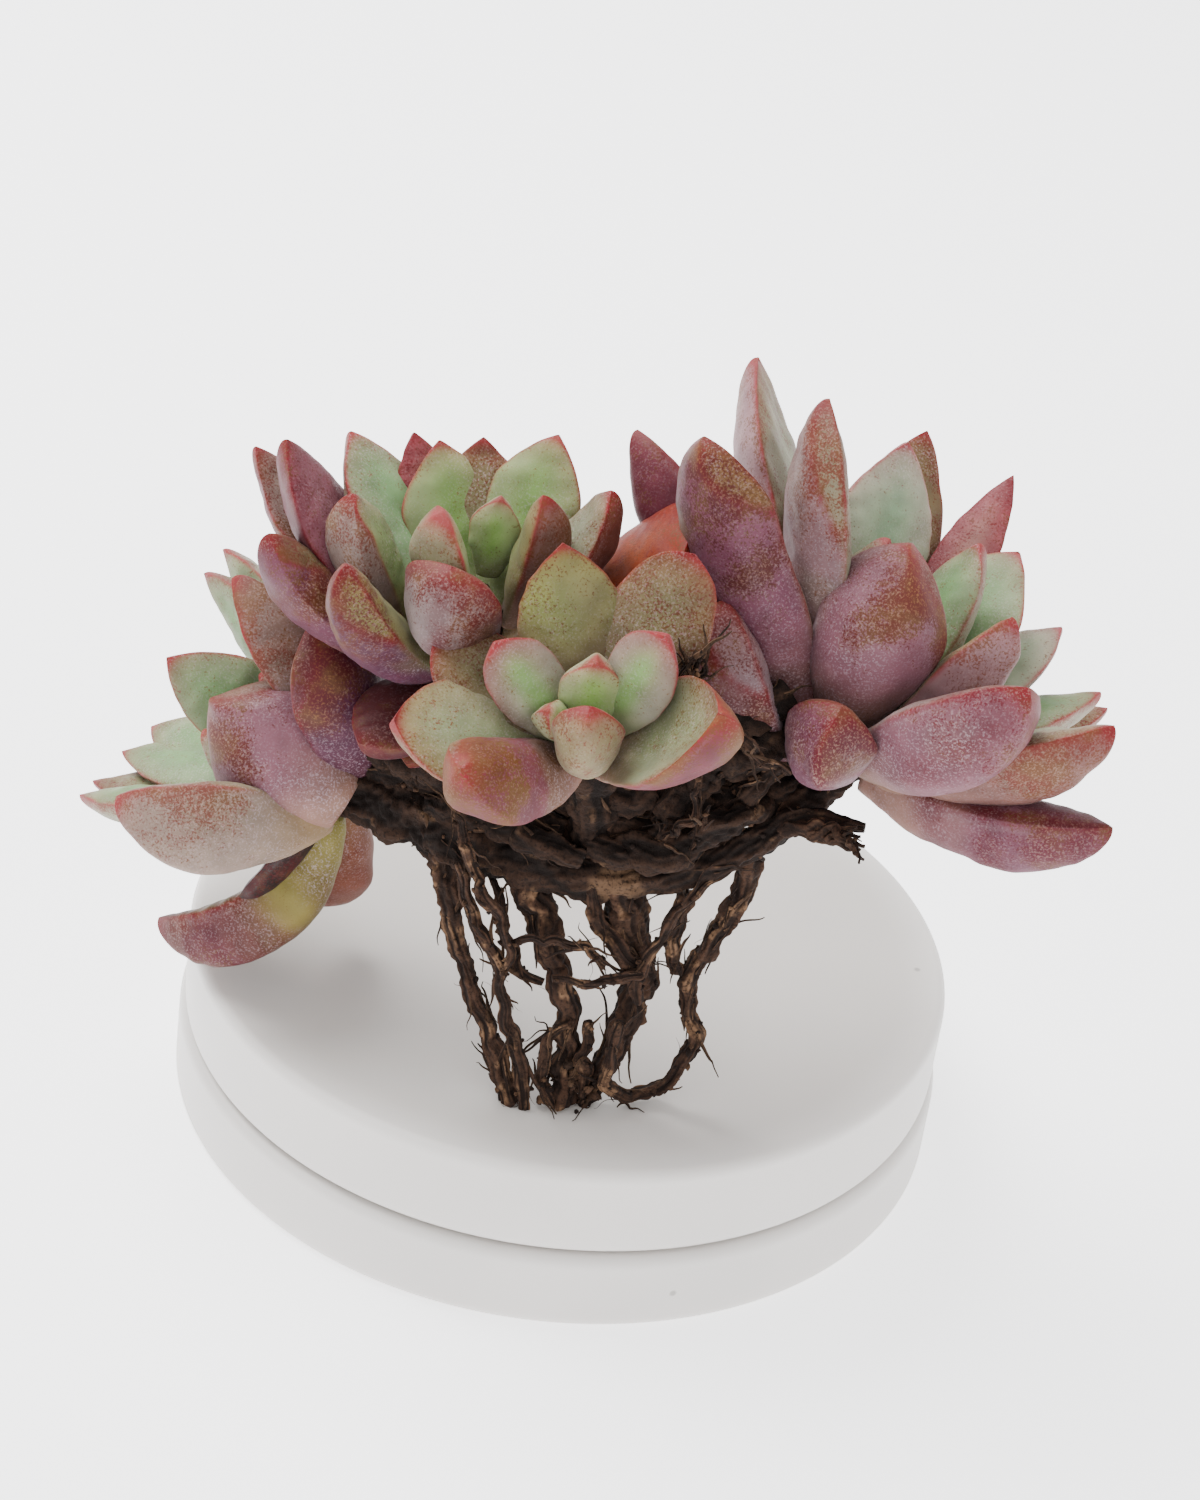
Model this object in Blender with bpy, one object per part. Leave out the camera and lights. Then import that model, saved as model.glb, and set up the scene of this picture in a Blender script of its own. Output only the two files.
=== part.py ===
# Cluster of four fleshy rosettes on a bare woody stem. It stands on its root tips,
# on a round stand of two frosted discs. Metres, +Z up. The origin is the centre of
# the stand's foot, +X is the plant's right and -Y is its front.

import math
from functools import partial

import bmesh
import bpy
import numpy as np
from mathutils.bvhtree import BVHTree

MM = 0.001

# Stand
STAND_BASE_RADIUS = 40.0 * MM
STAND_BASE_HEIGHT = 8.6 * MM
STAND_TOP_RADIUS = 39.5 * MM
STAND_TOP_HEIGHT = 9.95 * MM
STAND_EDGE_ROUND = 1.2 * MM
STAND_SIDES = 60

# Plant: shares that scale every leaf, the stems and the roots at once
LEAF_GROWTH = 1.0
STEM_THICKNESS = 1.0
ROOT_THICKNESS = 1.0

# Gap between pieces that touch, and how far a root tip reaches into it
CLEARANCE = 0.3 * MM
ROOT_TIP_SINK = 0.3 * MM

# The crown reaches this far (mm) past the feet of its leaves, outwards and upwards
CROWN_COVER = 0.5
CROWN_TIP = 1.5

LEAF_RINGS = 6
LEAF_SIDES = 8
STEM_SIDES = 9
ROOT_SIDES = 7

STAND_TOP_Z = STAND_BASE_HEIGHT + CLEARANCE
PLANT_Z = STAND_TOP_Z + STAND_TOP_HEIGHT

TINTS = {
    "sage": (0.42, 0.47, 0.33),
    "green": (0.40, 0.53, 0.28),
    "mauve": (0.40, 0.25, 0.29),
    "pink": (0.52, 0.30, 0.30),
    "rust": (0.33, 0.15, 0.12),
    "crimson": (0.36, 0.07, 0.08),
    "orange": (0.55, 0.13, 0.06),
}
BARK = (0.055, 0.035, 0.024)
ROOT_BARK = (0.10, 0.062, 0.04)
FROSTED = (0.72, 0.71, 0.69)


def leaf(heading, opening, length, width, thickness, curl, rise, tint, **extra):
    """One leaf: heading and opening in degrees round and from the rosette's axis, sizes in mm."""
    spec = dict(heading=heading, opening=opening, length=length, width=width,
                thickness=thickness, curl=curl, rise=rise, tint=tint,
                neck=0.42, peak=0.58, cup=0.12, twist=0)
    spec.update(extra)
    return spec


# Rosettes: foot of the crown above the stand's top (mm), the axis's tilt from upright
# and the heading it tilts towards (degrees), the crown's radius (mm), then its leaves.
# A heading of 0 is the +X side, 90 the +Y side. The heart holds the young leaves that
# are still joined at the growing tip.
ROSETTES = {
    "left": dict(
        foot=(-24, -14, 23.2), tilt=68, towards=158, crown=3.0,
        stem=[(-13.5, -19.5, 23.8), (-18.5, -17, 24)],
        stem_radii=[3.2, 3.3],
        heart=[leaf(200, 14, 11, 6, 4, 10, 3, "sage"),
               leaf(80, 16, 11, 6, 4, 10, 3, "sage"),
               leaf(320, 14, 10, 6, 4, 10, 3, "sage")],
        leaves=[leaf(240, 14, 16.5, 13.5, 7.5, 34, 0, "mauve", peak=0.5),
                leaf(305, 58, 17, 9, 6, 20, 0, "rust"),
                leaf(320, 34, 20, 9.5, 5, 20, 2, "mauve"),
                leaf(200, 58, 20.5, 10.5, 6, 35, 0, "mauve"),
                leaf(150, 117, 25, 8, 5.5, 95, 0, "mauve", neck=0.38, peak=0.66),
                leaf(105, 112, 12.5, 8, 4, 15, 0, "pink"),
                leaf(70, -8, 19, 9, 4, 18, 3, "sage"),
                leaf(122, 46, 23.5, 8, 4, 12, 4, "sage"),
                leaf(146, 45, 25.5, 8, 4, 10, 2, "sage"),
                leaf(25, 22, 24, 8.5, 4, 12, 2, "sage")]),
    "top": dict(
        foot=(-13, -13, 39.2), tilt=6, towards=-60, crown=2.5,
        stem=[(-5, -20, 26.5), (-8, -17, 31), (-11, -14.5, 36)],
        stem_radii=[2.6, 2.6, 2.8],
        heart=[leaf(205, 19, 10.5, 7, 4, 6, 7, "sage"),
               leaf(90, 5, 9, 5, 3.5, 4, 8, "green"),
               leaf(0, 11, 14.5, 7, 4.5, 10, 5, "mauve")],
        leaves=[leaf(178, 53, 16.5, 8, 5, 18, 4, "mauve"),
                leaf(255, 50, 14.5, 9, 6, 45, 6, "rust"),
                leaf(15, 36, 18.5, 8, 4.5, 20, 3, "mauve"),
                leaf(120, 48, 17, 9.5, 4, 15, 3, "green"),
                leaf(145, 57, 20.5, 9.5, 4.5, 12, 3, "sage"),
                leaf(68, 42, 18, 9.5, 4.5, 15, 4, "sage"),
                leaf(100, 45, 18, 9.5, 4.5, 12, 2, "sage"),
                leaf(215, 69, 19, 9.5, 6, 35, 3, "rust"),
                leaf(185, 81, 22, 8.5, 5, 45, 0, "mauve"),
                leaf(165, 69, 26, 9.5, 4.5, 42, 0, "mauve"),
                leaf(157, 80, 27, 9, 4, 34, 0, "sage"),
                leaf(12, 62, 23.5, 9, 4, 25, 0, "orange")]),
    "front": dict(
        foot=(-1, -27, 39.2), tilt=32, towards=-90, crown=1.5,
        stem=[(1, -22, 26), (0.5, -22, 30), (-0.3, -23.5, 35)],
        stem_radii=[2.6, 2.5, 2.5],
        heart=[leaf(232, 30, 10, 8, 4.5, 40, 2, "sage"),
               leaf(92, 20, 9, 6.5, 3.5, 5, 3, "green"),
               leaf(180, 30, 5.5, 4, 3, 5, 3, "green")],
        leaves=[leaf(150, 62, 11, 7.5, 4, 20, 2, "sage", twist=-20),
                leaf(42, 34, 14, 8, 4, 10, 2, "green", twist=15),
                leaf(215, 60, 16, 10, 4.5, 45, 0, "pink"),
                leaf(-10, 56, 19, 11, 4.5, 40, 0, "pink", cup=0.25),
                leaf(188, 83, 17.5, 11, 4.5, 25, 0, "sage", cup=0.1),
                leaf(108, 60, 18, 10, 4, 15, 0.5, "green"),
                leaf(64, 60, 19.5, 10, 4, 15, 0.5, "sage"),
                leaf(156, 80, 16, 9, 4, 15, 0, "sage")]),
    "right": dict(
        foot=(23, -13, 35.2), tilt=22, towards=45, crown=3.5,
        stem=[(18, -18, 29.5), (20.5, -15.8, 31.5)],
        stem_radii=[2.4, 2.8],
        heart=[leaf(30, 10, 17, 8, 4, 10, 6, "sage"),
               leaf(150, 8, 14, 7, 4, 10, 6, "sage"),
               leaf(265, 8, 12, 7, 4, 10, 6, "sage")],
        leaves=[leaf(252, 19, 20.5, 13, 7.5, 28, 4, "mauve"),
                leaf(192, 30, 25, 11, 5, 8, 6, "mauve"),
                leaf(120, 22, 25, 11, 5, 10, 4, "sage"),
                leaf(330, 30, 18.5, 10, 5, 15, 2, "mauve"),
                leaf(255, 80, 13, 9, 6.5, 45, 0, "mauve"),
                leaf(305, 62, 22, 13, 7, 28, 1, "mauve"),
                leaf(198, 68, 15.5, 8, 6, 30, 1, "rust"),
                leaf(155, 45, 32, 12, 5, 10, 5, "pink", twist=15),
                leaf(200, 54, 31.5, 11, 5.5, 16, 2, "rust", twist=35),
                leaf(100, 33, 31, 10, 4, 10, 1, "sage"),
                leaf(45, 30, 21.5, 13, 4.5, 10, 3, "sage"),
                leaf(65, 30, 30, 6.5, 3.5, 10, 1, "pink"),
                leaf(172, 63, 32.5, 10.5, 5, 16, 1, "pink", twist=40),
                leaf(333, 67, 25, 12, 6, 25, 0, "pink"),
                leaf(35, 54, 23, 9, 4, 15, 1, "sage"),
                leaf(340, 88, 24.5, 9, 5.5, 25, -1, "crimson")]),
}

# Woody stem and roots: points above the stand's top and radii, in mm, from the old
# wood down. A height of 0 is a tip that stands on the stand.
WOODY_STEM = dict(
    points=[(-14.5, -20.5, 24.5), (-10, -21.5, 23.5), (-4, -22.8, 22.4), (3, -24, 22.4),
            (8, -23.7, 23.8), (12, -22.8, 25.6), (16, -21.2, 28), (20, -20.6, 31), (26, -22, 32)],
    radii=[2.6, 3.2, 3.1, 2.7, 2.4, 2.3, 2.0, 1.7, 0.8])
ROOTS = {
    "root_left": dict(
        points=[(-12.8, -21.3, 22), (-12, -23, 18.5), (-9.8, -25, 12.5), (-7, -27, 7), (-4.6, -28.8, 2.4),
                (-3.6, -29.6, 0)],
        radii=[1.9, 1.5, 1.1, 1.1, 1.3, 0.9]),
    "root_left_fine": dict(
        points=[(-11.5, -25.3, 24), (-9.4, -26.2, 19), (-7, -27.2, 15), (-5.6, -28, 10.5), (-3.2, -29.4, 4),
                (-2.2, -30.4, 0)],
        radii=[0.8, 0.8, 0.9, 0.9, 1.1, 0.8]),
    "root_middle": dict(
        points=[(-4.5, -23.5, 21.5), (-2, -24.8, 16.5), (0.2, -26.2, 11), (1.2, -27.6, 5.5), (1.2, -29, 0)],
        radii=[2.2, 1.9, 1.5, 1.6, 1.8]),
    "root_right": dict(
        points=[(4.5, -23.8, 21.5), (6.4, -24, 16), (7.2, -24.4, 11.5), (6, -26, 7), (4.4, -27.6, 2.6),
                (3.6, -28.2, 0)],
        radii=[2.2, 2.2, 2.0, 1.8, 1.5, 1.2]),
    "root_loop": dict(
        points=[(16, -21, 26.5), (15.4, -21.8, 21.5), (12.9, -22.6, 16), (11.9, -23.4, 12), (13.1, -24.8, 7),
                (11.6, -25.8, 3), (8.4, -27, 0.9), (5.8, -28.8, 2.6), (5.2, -29.2, 6.5), (5.9, -28.8, 10.6)],
        radii=[1.5, 1.4, 1.3, 1.2, 1.0, 0.9, 0.8, 0.8, 0.75, 0.6]),
    "root_inner": dict(
        points=[(10.4, -22.8, 22.5), (9.9, -23.2, 17.5), (10.6, -23.8, 13.5)],
        radii=[1.1, 1.0, 0.9]),
}


def clear_scene():
    """Remove every object that the file already holds."""
    for thing in list(bpy.data.objects):
        bpy.data.objects.remove(thing, do_unlink=True)


def material(name, color, roughness, alpha=1.0):
    """A plain Principled material."""
    surface = bpy.data.materials.new(name)
    surface.use_nodes = True
    shader = surface.node_tree.nodes["Principled BSDF"]
    shader.inputs["Base Color"].default_value = (*color, 1.0)
    shader.inputs["Roughness"].default_value = roughness
    shader.inputs["Metallic"].default_value = 0.0
    shader.inputs["Alpha"].default_value = alpha
    return surface


def unit(vector):
    """The vector at length 1."""
    return vector / np.linalg.norm(vector)


def lofted(name, shape):
    """A closed triangle mesh through the shape's rings, ending in its two end points."""
    rings, start, end = shape
    count = len(rings[0])
    points = [point for ring in rings for point in ring] + [start, end]
    first_tip, last_tip = len(points) - 2, len(points) - 1
    faces = []
    for level in range(len(rings) - 1):
        for side in range(count):
            low = level * count
            high = low + count
            following = (side + 1) % count
            faces.append((low + side, low + following, high + following))
            faces.append((low + side, high + following, high + side))
    top = (len(rings) - 1) * count
    for side in range(count):
        following = (side + 1) % count
        faces.append((first_tip, following, side))
        faces.append((last_tip, top + side, top + following))
    mesh = bpy.data.meshes.new(name)
    mesh.from_pydata([tuple(point) for point in points], [], faces)
    closed = bmesh.new()
    closed.from_mesh(mesh)
    bmesh.ops.recalc_face_normals(closed, faces=closed.faces)
    closed.to_mesh(mesh)
    closed.free()
    return bpy.data.objects.new(name, mesh)


def disc_shape(radius, low, height, grow=0.0):
    """A disc with rounded rims, turned about the Z axis."""
    turn = STAND_EDGE_ROUND
    corner = [math.radians(angle) for angle in (0, 45, 90)]
    outer, bottom, top = radius + grow, low - grow, low + height + grow
    profile = [(outer - turn + turn * math.sin(a), bottom + turn - turn * math.cos(a)) for a in corner]
    profile += [(outer - turn + turn * math.cos(a), top - turn + turn * math.sin(a)) for a in corner]
    angles = np.linspace(0, 2 * math.pi, STAND_SIDES, endpoint=False)
    rings = [[(r * math.cos(a), r * math.sin(a), z) for a in angles] for r, z in profile]
    return rings, (0, 0, bottom), (0, 0, top)


def tube_shape(points, radii, sides, grow=0.0):
    """A tapering tube along hand-placed points (mm above the stand's top), its frame carried along."""
    line = np.array(points, float) * MM + np.array([0, 0, PLANT_Z])
    tangents = [unit(tangent) for tangent in np.gradient(line, axis=0)]
    line[0] -= tangents[0] * grow
    line[-1] += tangents[-1] * grow
    side = np.cross(tangents[0], [0, 1, 0])
    angles = np.linspace(0, 2 * math.pi, sides, endpoint=False)
    rings = []
    for centre, tangent, radius in zip(line, tangents, radii):
        side = unit(side - tangent * np.dot(side, tangent))
        across = np.cross(tangent, side)
        reach = radius * MM + grow
        rings.append([centre + reach * (math.cos(a) * side + math.sin(a) * across) for a in angles])
    return rings, line[0], line[-1]


def root_points(points):
    """The root's points, with a tip at height 0 taken down into the gap above the stand."""
    sink = ROOT_TIP_SINK / MM
    return [(x, y, z - sink) if z == 0 else (x, y, z) for x, y, z in points]


def width_share(along, neck, peak):
    """Width along a leaf: from the neck up to the peak on a sine, then down to the tip on a cosine."""
    rise = neck + (1 - neck) * np.sin(np.clip(along / peak, 0, 1) * math.pi / 2)
    fall = np.cos(np.clip((along - peak) / (1 - peak), 0, 1) * math.pi / 2) ** 0.95
    return np.where(along < peak, rise, fall)


def thickness_share(along):
    """Thickness along a leaf: half at the foot, full at the middle, thin at the tip."""
    rise = 0.5 + 0.5 * np.sin(np.clip(along / 0.5, 0, 1) * math.pi / 2)
    fall = np.cos(np.clip((along - 0.5) / 0.5, 0, 1) * math.pi / 2) ** 0.6
    return np.where(along < 0.5, rise, fall)


def rosette_axes(rosette):
    """The rosette's axis, and the two directions square to it that headings turn from."""
    tilt = math.radians(rosette["tilt"])
    towards = math.radians(rosette["towards"])
    axis = np.array([math.sin(tilt) * math.cos(towards), math.sin(tilt) * math.sin(towards), math.cos(tilt)])
    first = np.array([1.0, 0.0, 0.0])
    first = unit(first - axis * np.dot(first, axis))
    return axis, first, np.cross(axis, first)


def leaf_shape(rosette, spec, grow=0.0):
    """A leaf: lens-shaped rings along a midline that opens from the axis and curls back to it."""
    axis, first, second = rosette_axes(rosette)
    heading = math.radians(spec["heading"])
    out = math.cos(heading) * first + math.sin(heading) * second
    side = np.cross(axis, out)
    along = np.linspace(0, 1, 2 * LEAF_RINGS + 1)
    bend = np.radians(spec["opening"] - spec["curl"] * along)
    tangents = np.cos(bend)[:, None] * axis + np.sin(bend)[:, None] * out
    normals = np.sin(bend)[:, None] * axis - np.cos(bend)[:, None] * out
    step = spec["length"] * LEAF_GROWTH * MM / (2 * LEAF_RINGS)
    line = np.vstack([np.zeros(3), np.cumsum((tangents[1:] + tangents[:-1]) / 2 * step, axis=0)])
    foot = np.array(rosette["foot"], float) * MM + np.array([0, 0, PLANT_Z])
    line = line + foot + (axis * spec["rise"] + out * rosette["crown"]) * MM

    twist = math.radians(spec["twist"])
    half_width = spec["width"] / 2 * LEAF_GROWTH * MM * width_share(along, spec["neck"], spec["peak"])
    thickness = spec["thickness"] * LEAF_GROWTH * MM * thickness_share(along)
    angles = np.linspace(0, 2 * math.pi, LEAF_SIDES, endpoint=False)
    rings = []
    for index in range(0, 2 * LEAF_RINGS, 2):
        normal = math.cos(twist) * normals[index] - math.sin(twist) * side
        across = math.cos(twist) * side + math.sin(twist) * normals[index]
        flatness = 0.25 + 0.6 * along[index]
        cupping = spec["cup"] * spec["width"] * LEAF_GROWTH * MM * math.sin(math.pi * along[index] * 0.85)
        ring = []
        for angle in angles:
            wide, deep = math.cos(angle), math.sin(angle)
            profile = (1 - flatness) * abs(deep) + flatness * (1 - abs(wide) ** 2.4)
            share = 0.28 if deep > 0 else -0.72
            height = profile * share * thickness[index] + cupping * wide ** 2 + grow * deep
            ring.append(line[index] + across * wide * (half_width[index] + grow) + normal * height)
        rings.append(ring)
    rings[0] = [point - tangents[0] * grow for point in rings[0]]
    return rings, line[0] - tangents[0] * grow, line[-1] + tangents[-1] * grow


def piece(name, finish, shapes):
    """A piece of one or more shapes that grow together; each shape is a function of its growth."""
    return dict(name=name, finish=finish, shapes=shapes)


def stand_pieces():
    """The stand's two discs, the upper one a clearance above the lower."""
    finish = material("frosted_plastic", FROSTED, 0.45)
    base = partial(disc_shape, STAND_BASE_RADIUS, 0.0, STAND_BASE_HEIGHT)
    top = partial(disc_shape, STAND_TOP_RADIUS, STAND_TOP_Z, STAND_TOP_HEIGHT)
    return [piece("stand_base", finish, [base]), piece("stand_top", finish, [top])]


def crown_line(rosette):
    """The stem's points and radii, going on up the rosette's axis to where the heart's leaves sit."""
    axis, _, _ = rosette_axes(rosette)
    foot = np.array(rosette["foot"], float)
    height = max(spec["rise"] for spec in rosette["heart"])
    points = rosette["stem"] + [foot + axis * share * height for share in (0.0, 0.5, 1.0)]
    points.append(foot + axis * (height + CROWN_TIP))
    seat = rosette["crown"] + CROWN_COVER
    radii = [radius * STEM_THICKNESS for radius in rosette["stem_radii"]]
    return points, radii + [seat, seat, seat, seat / 2]


def stem_pieces():
    """Each rosette's stem up to its growing tip, with the young leaves of the heart joined to it."""
    pieces = []
    for name, rosette in ROSETTES.items():
        points, radii = crown_line(rosette)
        shapes = [partial(tube_shape, points, radii, STEM_SIDES)]
        shapes += [partial(leaf_shape, rosette, spec) for spec in rosette["heart"]]
        pieces.append(piece(f"stem_{name}", material(f"stem_{name}_bark", BARK, 0.85), shapes))
    return pieces


def woody_pieces():
    """The woody stem that carries the rosettes, and the roots under it."""
    radii = [radius * STEM_THICKNESS for radius in WOODY_STEM["radii"]]
    wood = partial(tube_shape, WOODY_STEM["points"], radii, STEM_SIDES)
    pieces = [piece("woody_stem", material("woody_stem_bark", BARK, 0.9), [wood])]
    for name, root in ROOTS.items():
        radii = [radius * ROOT_THICKNESS for radius in root["radii"]]
        strand = partial(tube_shape, root_points(root["points"]), radii, ROOT_SIDES)
        pieces.append(piece(name, material(f"{name}_bark", ROOT_BARK, 0.9), [strand]))
    return pieces


def leaf_pieces():
    """The grown leaves of every rosette, inner ones first."""
    pieces = []
    for name, rosette in ROSETTES.items():
        for number, spec in enumerate(rosette["leaves"], start=1):
            label = f"leaf_{name}_{number:02d}"
            finish = material(label, TINTS[spec["tint"]], 0.5)
            pieces.append(piece(label, finish, [partial(leaf_shape, rosette, spec)]))
    return pieces


def surface_tree(solid):
    """A search tree of the solid's faces."""
    points = [vertex.co for vertex in solid.data.vertices]
    return BVHTree.FromPolygons(points, [tuple(face.vertices) for face in solid.data.polygons])


def boolean(solid, others, operation):
    """Join the others to the solid, or cut them away, and keep the result as the solid's mesh."""
    group = bpy.data.collections.new("cutters")
    bpy.context.scene.collection.children.link(group)
    for other in others:
        other.hide_render = True
        other.display_type = "WIRE"
        group.objects.link(other)
    step = solid.modifiers.new(operation.lower(), "BOOLEAN")
    step.operation = operation
    step.solver = "EXACT"
    step.operand_type = "COLLECTION"
    step.collection = group
    evaluated = solid.evaluated_get(bpy.context.evaluated_depsgraph_get())
    mesh = bpy.data.meshes.new_from_object(evaluated)
    solid.modifiers.clear()
    solid.data = mesh
    for other in others:
        group.objects.unlink(other)
    bpy.data.collections.remove(group)


def keep_largest_island(solid):
    """Drop crumbs that a cut leaves, so the solid is one body."""
    body = bmesh.new()
    body.from_mesh(solid.data)
    left = set(body.faces)
    islands = []
    while left:
        island = {left.pop()}
        front = list(island)
        while front:
            face = front.pop()
            new = {near for edge in face.edges for near in edge.link_faces} & left
            left -= new
            island |= new
            front.extend(new)
        islands.append(island)
    largest = max(islands, key=lambda island: sum(face.calc_area() for face in island))
    crumbs = [face for face in body.faces if face not in largest]
    bmesh.ops.delete(body, geom=crumbs, context="FACES")
    body.to_mesh(solid.data)
    body.free()


def build_pieces(pieces):
    """Build each piece, cut back from those before it so that the clearance lies between them."""
    cutters = []
    for entry in pieces:
        solid = lofted(entry["name"], entry["shapes"][0]())
        bpy.context.scene.collection.objects.link(solid)
        joined = [lofted("joined", shape()) for shape in entry["shapes"][1:]]
        if joined:
            boolean(solid, joined, "UNION")
        tree = surface_tree(solid)
        near = [cutter for cutter, cutter_tree in cutters if tree.overlap(cutter_tree)]
        if near:
            boolean(solid, near, "DIFFERENCE")
            keep_largest_island(solid)
        solid.data.materials.clear()
        solid.data.materials.append(entry["finish"])
        solid.data.shade_smooth()
        solid.data.set_sharp_from_angle(angle=math.radians(40))
        for shape in entry["shapes"]:
            cutter = lofted(entry["name"] + "_cutter", shape(grow=CLEARANCE))
            cutters.append((cutter, surface_tree(cutter)))
        for shape in joined:
            bpy.data.objects.remove(shape)
    for cutter, _ in cutters:
        bpy.data.objects.remove(cutter)


def main():
    clear_scene()
    build_pieces(stand_pieces() + stem_pieces() + woody_pieces() + leaf_pieces())


main()
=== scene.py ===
import math

import bpy
import numpy as np
from mathutils import Matrix, Vector


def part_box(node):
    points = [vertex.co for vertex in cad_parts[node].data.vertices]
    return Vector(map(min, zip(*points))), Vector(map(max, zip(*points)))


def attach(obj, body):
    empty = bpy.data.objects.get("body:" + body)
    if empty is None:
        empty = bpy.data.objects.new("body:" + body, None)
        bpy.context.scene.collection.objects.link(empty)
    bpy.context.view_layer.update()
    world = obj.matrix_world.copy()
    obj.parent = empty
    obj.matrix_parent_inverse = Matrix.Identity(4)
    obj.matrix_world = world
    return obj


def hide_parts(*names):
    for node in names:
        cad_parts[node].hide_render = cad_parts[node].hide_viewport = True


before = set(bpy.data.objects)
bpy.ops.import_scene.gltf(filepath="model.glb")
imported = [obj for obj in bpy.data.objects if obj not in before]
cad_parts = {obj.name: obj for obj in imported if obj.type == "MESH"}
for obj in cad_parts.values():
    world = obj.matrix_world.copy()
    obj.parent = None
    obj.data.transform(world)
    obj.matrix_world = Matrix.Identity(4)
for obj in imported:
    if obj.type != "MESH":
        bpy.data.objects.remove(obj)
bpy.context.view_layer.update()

# A cluster of four fleshy rosettes on a bare woody stem, standing on its root tips
# on a round stand of two frosted discs. Sizes are in mm until they reach a mesh.

mm = 0.001
cadNodes = set(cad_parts)
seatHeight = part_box("stand_top")[1][2] / mm        # the plant's heights count from here


def toLinear(hexColour):
    # sRGB hex to a linear colour with alpha 1
    parts = [int(hexColour[i:i + 2], 16) / 255 for i in (1, 3, 5)]
    return [p / 12.92 if p <= 0.04045 else ((p + 0.055) / 1.055) ** 2.4 for p in parts] + [1.0]


def smoothStep(low, high, value):
    # 0 below low, 1 above high, and a smooth cubic between
    t = np.clip((value - low) / (high - low), 0, 1)
    return t * t * (3 - 2 * t)


def blend(base, colour, amount):
    # from base to colour by an amount at each point
    return base + (np.array(colour) - base) * amount[..., None]


def unitRows(vectors):
    return vectors / np.linalg.norm(vectors, axis=-1, keepdims=True)


def ripple(points, seed, size, count=7):
    # an uneven field over space, about -1 to 1: a sum of sines of random direction
    # and phase, whose waves are near size mm long
    draw = np.random.default_rng(seed)
    directions = unitRows(draw.normal(size=(count, 3)))
    waves = 2 * math.pi / (size * draw.uniform(0.7, 1.5, count))
    phases = draw.uniform(0, 2 * math.pi, count)
    field = np.sin(points @ (directions * waves[:, None]).T + phases)
    return field.sum(axis=-1) / math.sqrt(count)


def wrappedMesh(name, points, colours=None):
    # points[tube, row, column] in mm: every row wraps round, and both ends of a tube close
    # on a middle point; colours are named arrays of the same shape
    tubes, rows, columns = points.shape[:3]
    grid = np.arange(tubes * rows * columns).reshape(tubes, rows, columns)
    after = np.roll(grid, -1, axis=2)
    first = tubes * rows * columns + np.arange(tubes)[:, None] + np.zeros(columns, int)
    last = first + tubes
    walls = np.stack([grid[:, :-1], after[:, :-1], after[:, 1:], grid[:, 1:]], axis=-1).reshape(-1, 4)
    fans = np.concatenate([np.stack([after[:, 0], grid[:, 0], first], axis=-1).reshape(-1, 3),
                           np.stack([grid[:, -1], after[:, -1], last], axis=-1).reshape(-1, 3)])
    spots = np.concatenate([points.reshape(-1, 3), points[:, 0].mean(axis=1), points[:, -1].mean(axis=1)])
    sizes = np.concatenate([np.full(len(walls), 4), np.full(len(fans), 3)])
    mesh = bpy.data.meshes.new(name)
    mesh.vertices.add(len(spots))
    mesh.vertices.foreach_set("co", (spots * mm).ravel())
    mesh.loops.add(int(sizes.sum()))
    mesh.loops.foreach_set("vertex_index", np.concatenate([walls.ravel(), fans.ravel()]))
    mesh.polygons.add(len(sizes))
    mesh.polygons.foreach_set("loop_start", np.concatenate([[0], np.cumsum(sizes)[:-1]]))
    mesh.update(calc_edges=True)
    mesh.shade_smooth()
    for label, values in (colours or {}).items():
        ends = [values[:, 0].mean(axis=1), values[:, -1].mean(axis=1)]
        layer = mesh.attributes.new(label, "FLOAT_COLOR", "POINT")
        layer.data.foreach_set("color", np.concatenate([values.reshape(-1, 4)] + ends).ravel())
    made = bpy.data.objects.new(name, mesh)
    bpy.context.scene.collection.objects.link(made)
    return made


def finishPiece(made, material, nodes=()):
    # its material, the body it rides on, and the CAD nodes it stands for
    made.data.materials.append(material)
    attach(made, "root")
    if nodes:
        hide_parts(*nodes)


def newMaterial(name, values):
    # a material whose shader holds, on its own sockets, the values that are the same all over
    material = bpy.data.materials.new(name)
    material.use_nodes = True
    shader = material.node_tree.nodes["Principled BSDF"]
    for socket, value in values.items():
        shader.inputs[socket].default_value = value
    return material, material.node_tree, shader


def addNode(tree, kind, settings=None, links=None):
    # one shader node: its properties and socket values, and what feeds each socket, which is
    # another node's first output or a socket
    made = tree.nodes.new("ShaderNode" + kind)
    for key, value in (settings or {}).items():
        if isinstance(key, str) and hasattr(made, key):
            setattr(made, key, value)
        else:
            made.inputs[key].default_value = value
    for key, source in (links or {}).items():
        tree.links.new(source.outputs[0] if isinstance(source, bpy.types.Node) else source, made.inputs[key])
    return made


smooth = {"interpolation_type": "SMOOTHSTEP"}
colourMix = {"data_type": "RGBA"}       # its colours are sockets 6 and 7, its result is output 2


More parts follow.
